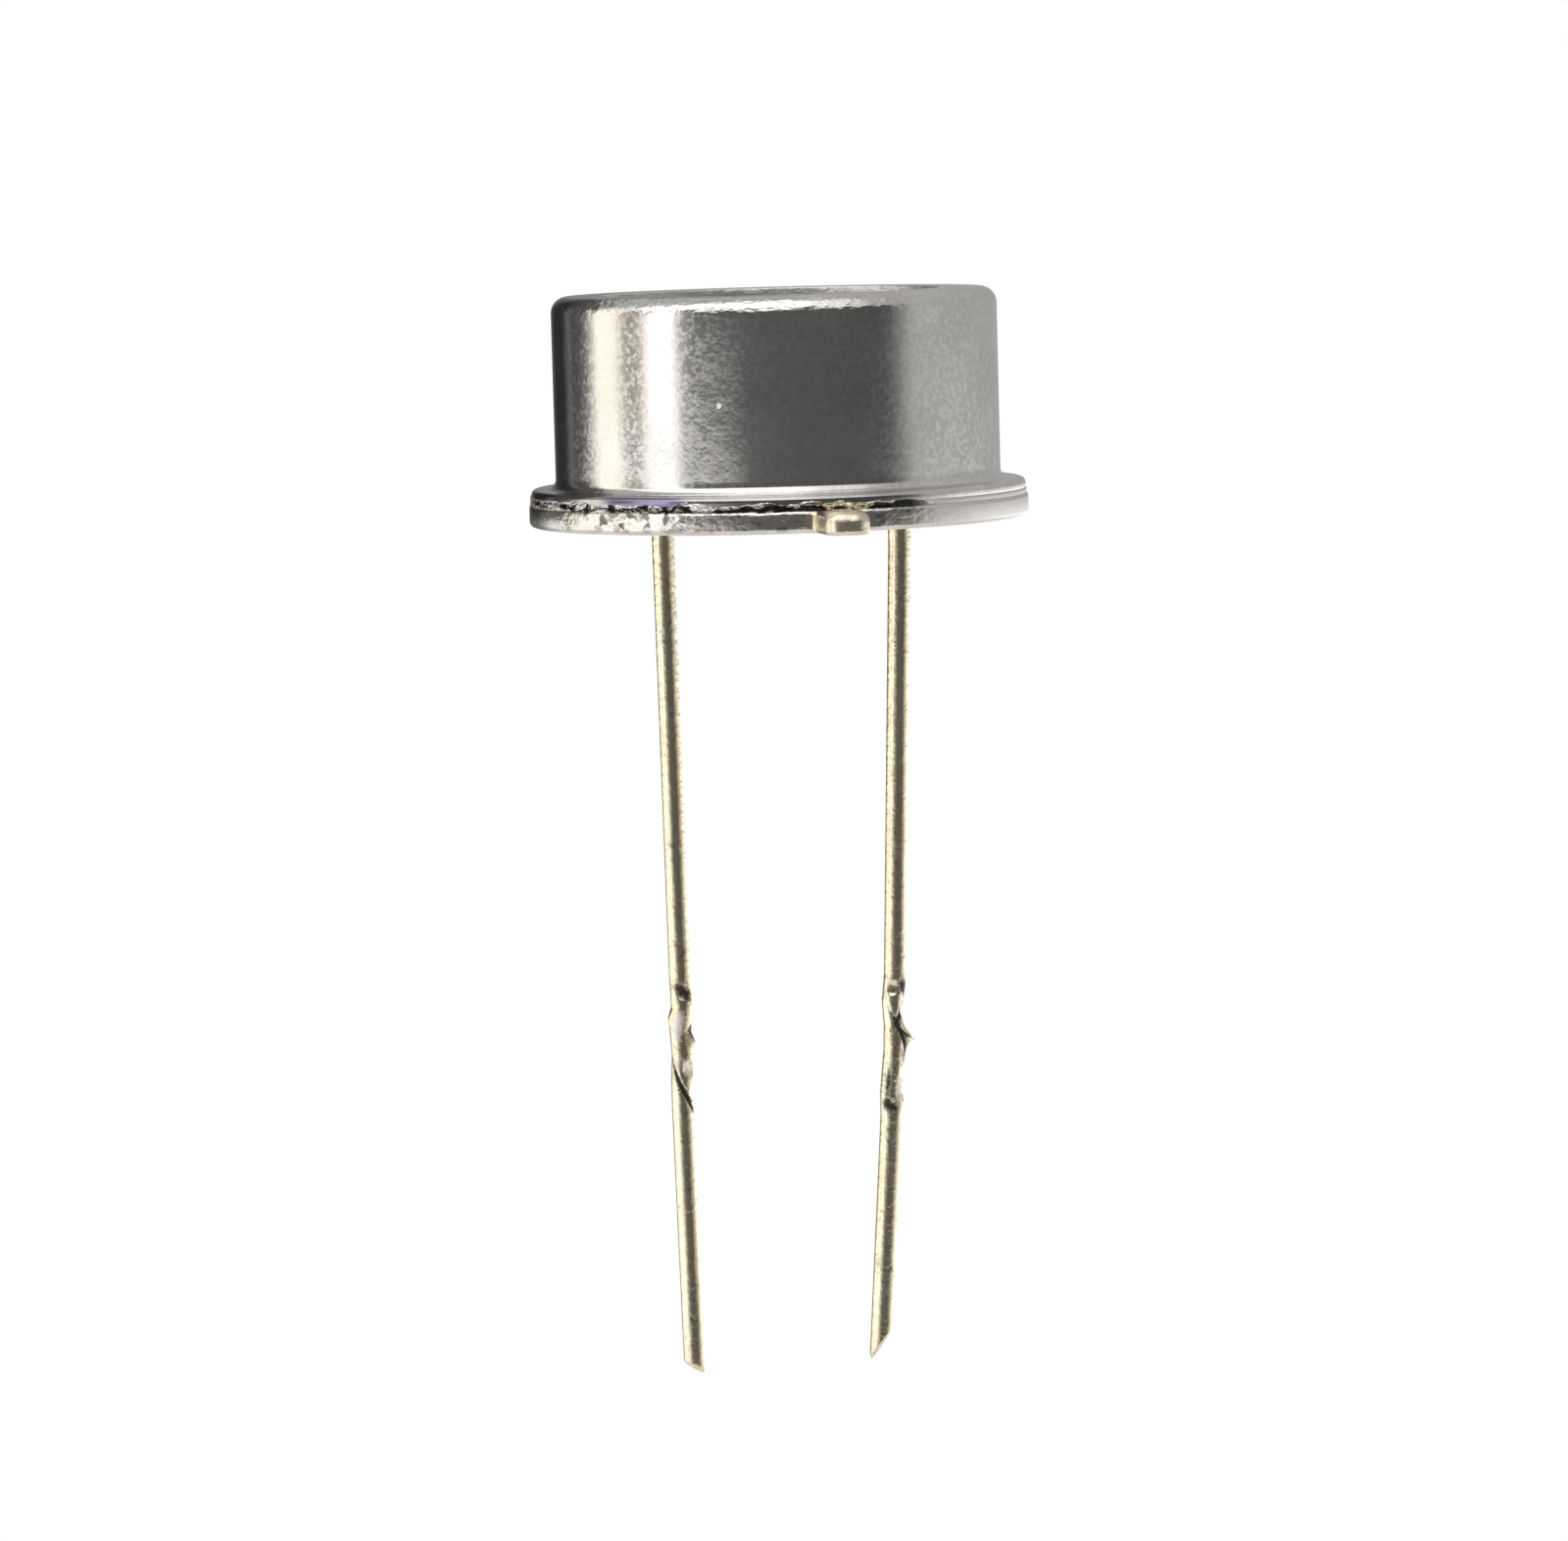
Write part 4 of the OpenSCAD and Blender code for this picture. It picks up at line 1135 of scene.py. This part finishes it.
def coated_chip(colours, chip, turn):
    """Silicon: a violet-blue coated active area that shifts a little across it, a grey scribed
    street, and aluminium where the ring and the pad stand proud."""
    g, place = finish("silicon")
    x, y, z = g.split(g.stretched(place, (1.0, 1.0, 1.0), -turn))
    across = abs(x).most(abs(y))
    top = chip.base + chip.thickness
    half = chip.width / 2
    drift = g.noise(place, 0.35, 1.0)
    grain = g.noise(place, 30.0, 2.0)
    active = g.mix(drift.ease(0.35, 0.65), shade(colours.active), (0.12, 0.03, 0.2))
    street = across.ease(half - chip.street - 0.008, half - chip.street + 0.002)
    body = g.mix(street, active, g.mix(grain, (0.2, 0.2, 0.21), (0.3, 0.3, 0.31)))
    side = z.ease(top - 0.028, top - 0.034)
    body = g.mix(side, body, g.mix(grain, (0.12, 0.12, 0.13), (0.22, 0.22, 0.23)))
    proud = z.ease(top + 0.0005, top + 0.003)
    metal = g.shades(grain, colours.metal, 1, 0.86)
    return g.surface(
        Base_Color=g.mix(proud, body, metal),
        Metallic=0.55 + 0.45 * proud,
        Roughness=0.08 + 0.2 * proud + 0.35 * side,
        Coat_Weight=0.5 - 0.5 * proud, Coat_Roughness=0.02,
        Normal=g.bump(grain * (0.15 + 0.85 * proud.most(side)), 0.0015))


def silver_adhesive():
    """Silver-filled glue: grey and grainy with bright flakes."""
    g, place = finish("die_attach")
    flake = g.cells(place, 26.0)
    lump = g.noise(place, 9.0, 4.0)
    return g.surface(
        Base_Color=g.mix(flake.ease(0.2, 0.5), (0.72, 0.72, 0.7), (0.5, 0.5, 0.49)),
        Metallic=0.7, Roughness=0.42 + 0.3 * lump, Normal=g.bump(lump + flake * 0.3, 0.012))


def bright_wire(colours):
    """Bright gold wire with fine draw lines."""
    g, place = finish("bond_wire")
    draw = g.noise(place, 40.0, 2.0)
    return g.surface(
        Base_Color=g.shades(draw, colours.gold, 1.1, 0.95),
        Metallic=1.0, Roughness=0.16 + 0.1 * draw, Normal=g.bump(draw, 0.0008))


# ---------------------------------------------------------------- operators

class PHOTODIODE_OT_header(bpy.types.Operator):
    """Makes the gold-plated header with its platform, index tab and holes"""
    bl_idname = "photodiode.header"
    bl_label = "Header"

    def execute(self, context):
        can, leads, colours, studio = settings(context, "can", "leads", "finishes", "studio")
        piece("header_plate", header_skin(can, leads, studio.segments), plated_header(colours),
              "gold_plate", ["header"], sharp=32)
        return {"FINISHED"}


class PHOTODIODE_OT_cap(bpy.types.Operator):
    """Makes the drawn nickel cap with its shoulder, foot fillet and flange"""
    bl_idname = "photodiode.cap"
    bl_label = "Cap"

    def execute(self, context):
        can, colours, studio = settings(context, "can", "finishes", "studio")
        piece("cap_shell", lathe(cap_profile(can), studio.segments), satin_nickel(colours),
              "nickel_plate", ["cap"])
        return {"FINISHED"}


class PHOTODIODE_OT_seam(bpy.types.Operator):
    """Makes the fused seam with its squeezed-out lumps"""
    bl_idname = "photodiode.seam"
    bl_label = "Weld seam"

    def execute(self, context):
        can, colours = settings(context, "can", "finishes")
        *shape, lump = seam_skin(can)
        piece("seam_bead", shape, fused_seam(colours), "weld_metal", ["weld_seam"], sharp=60,
              lump=lump)
        return {"FINISHED"}


class PHOTODIODE_OT_window(bpy.types.Operator):
    """Makes the window and the ring of glass that seals it under the cap's top"""
    bl_idname = "photodiode.window"
    bl_label = "Window"

    def execute(self, context):
        can, colours, studio = settings(context, "can", "finishes", "studio")
        disc = disc_profile(can.window_radius, can.window_top - can.window_thickness,
                            can.window_top, 0.04)
        piece("window_disc", lathe(disc, studio.segments, closed=False), window_glass(),
              "window_glass", ["window"])
        piece("window_seal_ring", lathe(window_ring_profile(can), studio.segments),
              sealing_glass(colours, "window_seal_glass"), "seal_glass", ["window_seal"])
        return {"FINISHED"}


class PHOTODIODE_OT_leads(bpy.types.Operator):
    """Makes the two kinked leads, with jaw marks, burrs, and dents with painted reflections"""
    bl_idname = "photodiode.leads"
    bl_label = "Leads"

    def execute(self, context):
        can, leads, colours = settings(context, "can", "leads", "finishes")
        plate, root, width = lead_plate(colours), root_of(leads), 2 * leads.radius
        rows = lead_stretches(width, leads.anode, leads.anode_upper, ANODE_LEANS, ANODE_KINKS,
                              leads)
        *wire, bruise = lead_skin((*root, 0.0), 0.0, leads.post, rows, ANODE_DENTS_AND_PAINTED_REFLECTIONS,
                                  (leads.anode_cut, 180), leads)
        sliver = torn_sliver(wire[0], root)
        piece("anode_wire", shells(wire, sliver), plate, "lead_plate", ["anode_lead"],
              # The torn sliver carries the full painted dark reflection.
              bruise=np.append(bruise, np.ones(len(sliver[0]))))
        deep = can.seat_depth
        rows = lead_stretches(deep + width, deep + leads.cathode, leads.cathode_upper,
                              CATHODE_LEANS, CATHODE_KINKS, leads)
        *wire, bruise = lead_skin((*-root, deep), deep, 0, rows, CATHODE_DENTS_AND_PAINTED_REFLECTIONS,
                                  (leads.cathode_cut, 0), leads)
        piece("cathode_wire", wire, plate, "lead_plate", ["cathode_lead"], bruise=bruise)
        return {"FINISHED"}


class PHOTODIODE_OT_seals(bpy.types.Operator):
    """Makes the glass bead round the anode lead and the weld round the case lead"""
    bl_idname = "photodiode.seals"
    bl_label = "Lead seals"

    def execute(self, context):
        can, leads, colours = settings(context, "can", "leads", "finishes")
        piece("anode_bead", lathe(bead_profile(can, leads), 96, root_of(leads)),
              sealing_glass(colours), "seal_glass", ["anode_seal"])
        piece("root_weld_fillet", root_weld_skin(can, leads), root_weld(colours), "gold_plate",
              ["lead_weld"])
        return {"FINISHED"}


class PHOTODIODE_OT_chip(bpy.types.Operator):
    """Makes the chip, the layer that holds it and the bond wire"""
    bl_idname = "photodiode.chip"
    bl_label = "Chip and wire"

    def execute(self, context):
        chip, leads, colours = settings(context, "chip", "leads", "finishes")
        silicon = coated_chip(colours, chip, leads.turn)
        for name, (points, faces), material, slot, node, sharp in (
                ("chip_die", chip_skin(chip), silicon, "silicon", "photodiode_chip", 25),
                ("attach_layer", attach_skin(chip), silver_adhesive(), "die_attach",
                 "die_attach", 40),
                ("bond_loop", wire_skin(chip, leads), bright_wire(colours), "bond_wire",
                 "bond_wire", 40)):
            piece(name, (turned(points, leads.turn), faces), material, slot, [node], sharp)
        return {"FINISHED"}


class PHOTODIODE_OT_studio(bpy.types.Operator):
    """Makes the pale floor, the studio's light and the camera"""
    bl_idname = "photodiode.studio"
    bl_label = "Studio"

    def execute(self, context):
        (studio,), scene = settings(context, "studio"), context.scene
        scene.view_settings.view_transform = "Standard"
        self.floor(studio)
        self.light(scene, studio)
        self.camera(scene, studio)
        return {"FINISHED"}

    def floor(self, studio):
        """A flat pale sheet just under the leads' tips, with a finely mottled paper surface."""
        g, place = finish("floor_paper")
        mottle = g.noise(place, 0.4, 3.0)
        paper = g.node("ShaderNodeBsdfPrincipled", (), {
            "Base Color": g.mix(mottle, (0.9, 0.9, 0.9), (0.93, 0.93, 0.93)), "Roughness": 0.8,
            "Specular IOR Level": 0.1})
        seen = g.rays("Camera", "Glossy", "Transmission")
        lit = g.node("ShaderNodeEmission", (), {"Color": (1, 1, 1, 1), "Strength": 1.02})
        both = g.node("ShaderNodeMixShader", (), {0: seen * 0.95, 1: g.out(paper), 2: g.out(lit)})
        g.node("ShaderNodeOutputMaterial", (), {"Surface": g.out(both)})
        z = CAD_BOX[0][2] * 1000 - 0.03
        line = np.linspace(-studio.floor_reach, studio.floor_reach, 17)
        plane = sheet(at_height(np.stack(np.meshgrid(line, line), -1), z))
        floor = placed("floor", mesh_of("floor", *plane, g.owner))
        floor.visible_glossy = False

    def light(self, scene, studio):
        """A ring of light round the part, worked out from the direction alone: a ramp of strips
        and flags from the horizon up, and two more under it for the rim and the leads. A soft
        panel closes the ring above, with flags over both sides and a dimmer half behind, and
        the pale floor closes it below."""
        world = bpy.data.worlds.new("studio")
        scene.world = world
        g = Graph(world)
        x, y, z = g.split(g.out(g.node("ShaderNodeTexCoord"), "Generated"))
        degree = 180 / math.pi
        turn = x.maths("ARCTAN2", x, -y) / (2 * math.pi) + 0.5
        height = z.maths("ARCSINE", z) * degree
        facing = x.maths("ARCTAN2", x, 1 - y) * degree
        light = lambda value, warmth=0: tuple(value / BRIGHTEST * (1 - k * warmth)
                                              for k in (0, 0.06, 0.15))
        band = lambda stops: g.out(g.node("ShaderNodeValToRGB", {"stops": [
            ((angle + 180) / 360, light(value, WARMTH.get(angle, 0))) for angle, value in stops]},
            {0: turn}))
        ring = g.mix(height.ease(-3.06, -3.2), band(STRIPS), band(RIM))
        ring = g.mix(height.ease(-3.55, -4.1), ring, band(LOW))
        above = g.mix(facing.ease(0.0, 16.0), light(1.6), light(1.05))
        above = g.mix((-y).ease(-0.15, 0.15), light(0.52), above)
        above = g.mix(facing.ease(17.0, 29.0), above, light(0.5))
        above = g.mix(facing.ease(-47.0, -53.0), above, light(0.1))
        room = g.mix(height.ease(18.0, 34.0), ring, above)
        room = g.mix(height.ease(-16.0, -30.0), room, light(0.8))
        clear = g.rays("Camera", "Transmission")
        lit = g.node("ShaderNodeBackground", (),
                     {"Color": room, "Strength": BRIGHTEST * studio.strength})
        plain = g.node("ShaderNodeBackground", (), {"Color": (1, 1, 1, 1), "Strength": 1.0})
        both = g.node("ShaderNodeMixShader", (), {0: clear, 1: g.out(lit), 2: g.out(plain)})
        g.node("ShaderNodeOutputWorld", (), {"Surface": g.out(both)})

    def camera(self, scene, studio):
        """The camera in front of the part, pitched down and slightly rolled."""
        data = bpy.data.cameras.new("camera")
        data.sensor_width, data.sensor_fit, data.lens = 36, "HORIZONTAL", studio.lens
        data.clip_start, data.clip_end = 0.001, 10
        c, s = math.cos(studio.pitch), math.sin(studio.pitch)
        ahead, right = Vector((0, c, -s)), Vector((1, 0, 0))
        up = right.cross(ahead)
        cr, sr = math.cos(studio.roll), math.sin(studio.roll)
        right, up = cr * right + sr * up, -sr * right + cr * up
        place = Matrix((right, up, -ahead)).transposed().to_4x4()
        place.translation = Vector((studio.aside, -studio.distance, studio.height)) / 1000
        camera = placed("camera", data)
        camera.matrix_world = place
        scene.camera = camera


class PHOTODIODE_PT_panel(bpy.types.Panel):
    """Sizes, finishes and the steps that dress the part"""
    bl_label = "Photodiode"
    bl_idname = "PHOTODIODE_PT_panel"
    bl_space_type = "VIEW_3D"
    bl_region_type = "UI"
    bl_category = "Photodiode"

    def draw(self, context):
        for step in STEPS:
            self.layout.operator(step.bl_idname)
        for group in GROUPS:
            box = self.layout.box()
            values = getattr(context.scene, "photodiode_" + group)
            for name in GROUPS[group].__annotations__:
                box.prop(values, name)


STEPS = (PHOTODIODE_OT_studio, PHOTODIODE_OT_header, PHOTODIODE_OT_cap, PHOTODIODE_OT_seam,
         PHOTODIODE_OT_window, PHOTODIODE_OT_leads, PHOTODIODE_OT_seals, PHOTODIODE_OT_chip)
CLASSES = (*GROUPS.values(), *STEPS, PHOTODIODE_PT_panel)


def register():
    for made in CLASSES:
        bpy.utils.register_class(made)
    for name, group in GROUPS.items():
        setattr(bpy.types.Scene, "photodiode_" + name, PointerProperty(type=group))


def unregister():
    for name in GROUPS:
        delattr(bpy.types.Scene, "photodiode_" + name)
    for made in reversed(CLASSES):
        bpy.utils.unregister_class(made)


def main():
    """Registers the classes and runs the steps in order."""
    register()
    bpy.ops.photodiode.studio()
    bpy.ops.photodiode.header()
    bpy.ops.photodiode.cap()
    bpy.ops.photodiode.seam()
    bpy.ops.photodiode.window()
    bpy.ops.photodiode.leads()
    bpy.ops.photodiode.seals()
    bpy.ops.photodiode.chip()


if __name__ == "__main__":
    main()
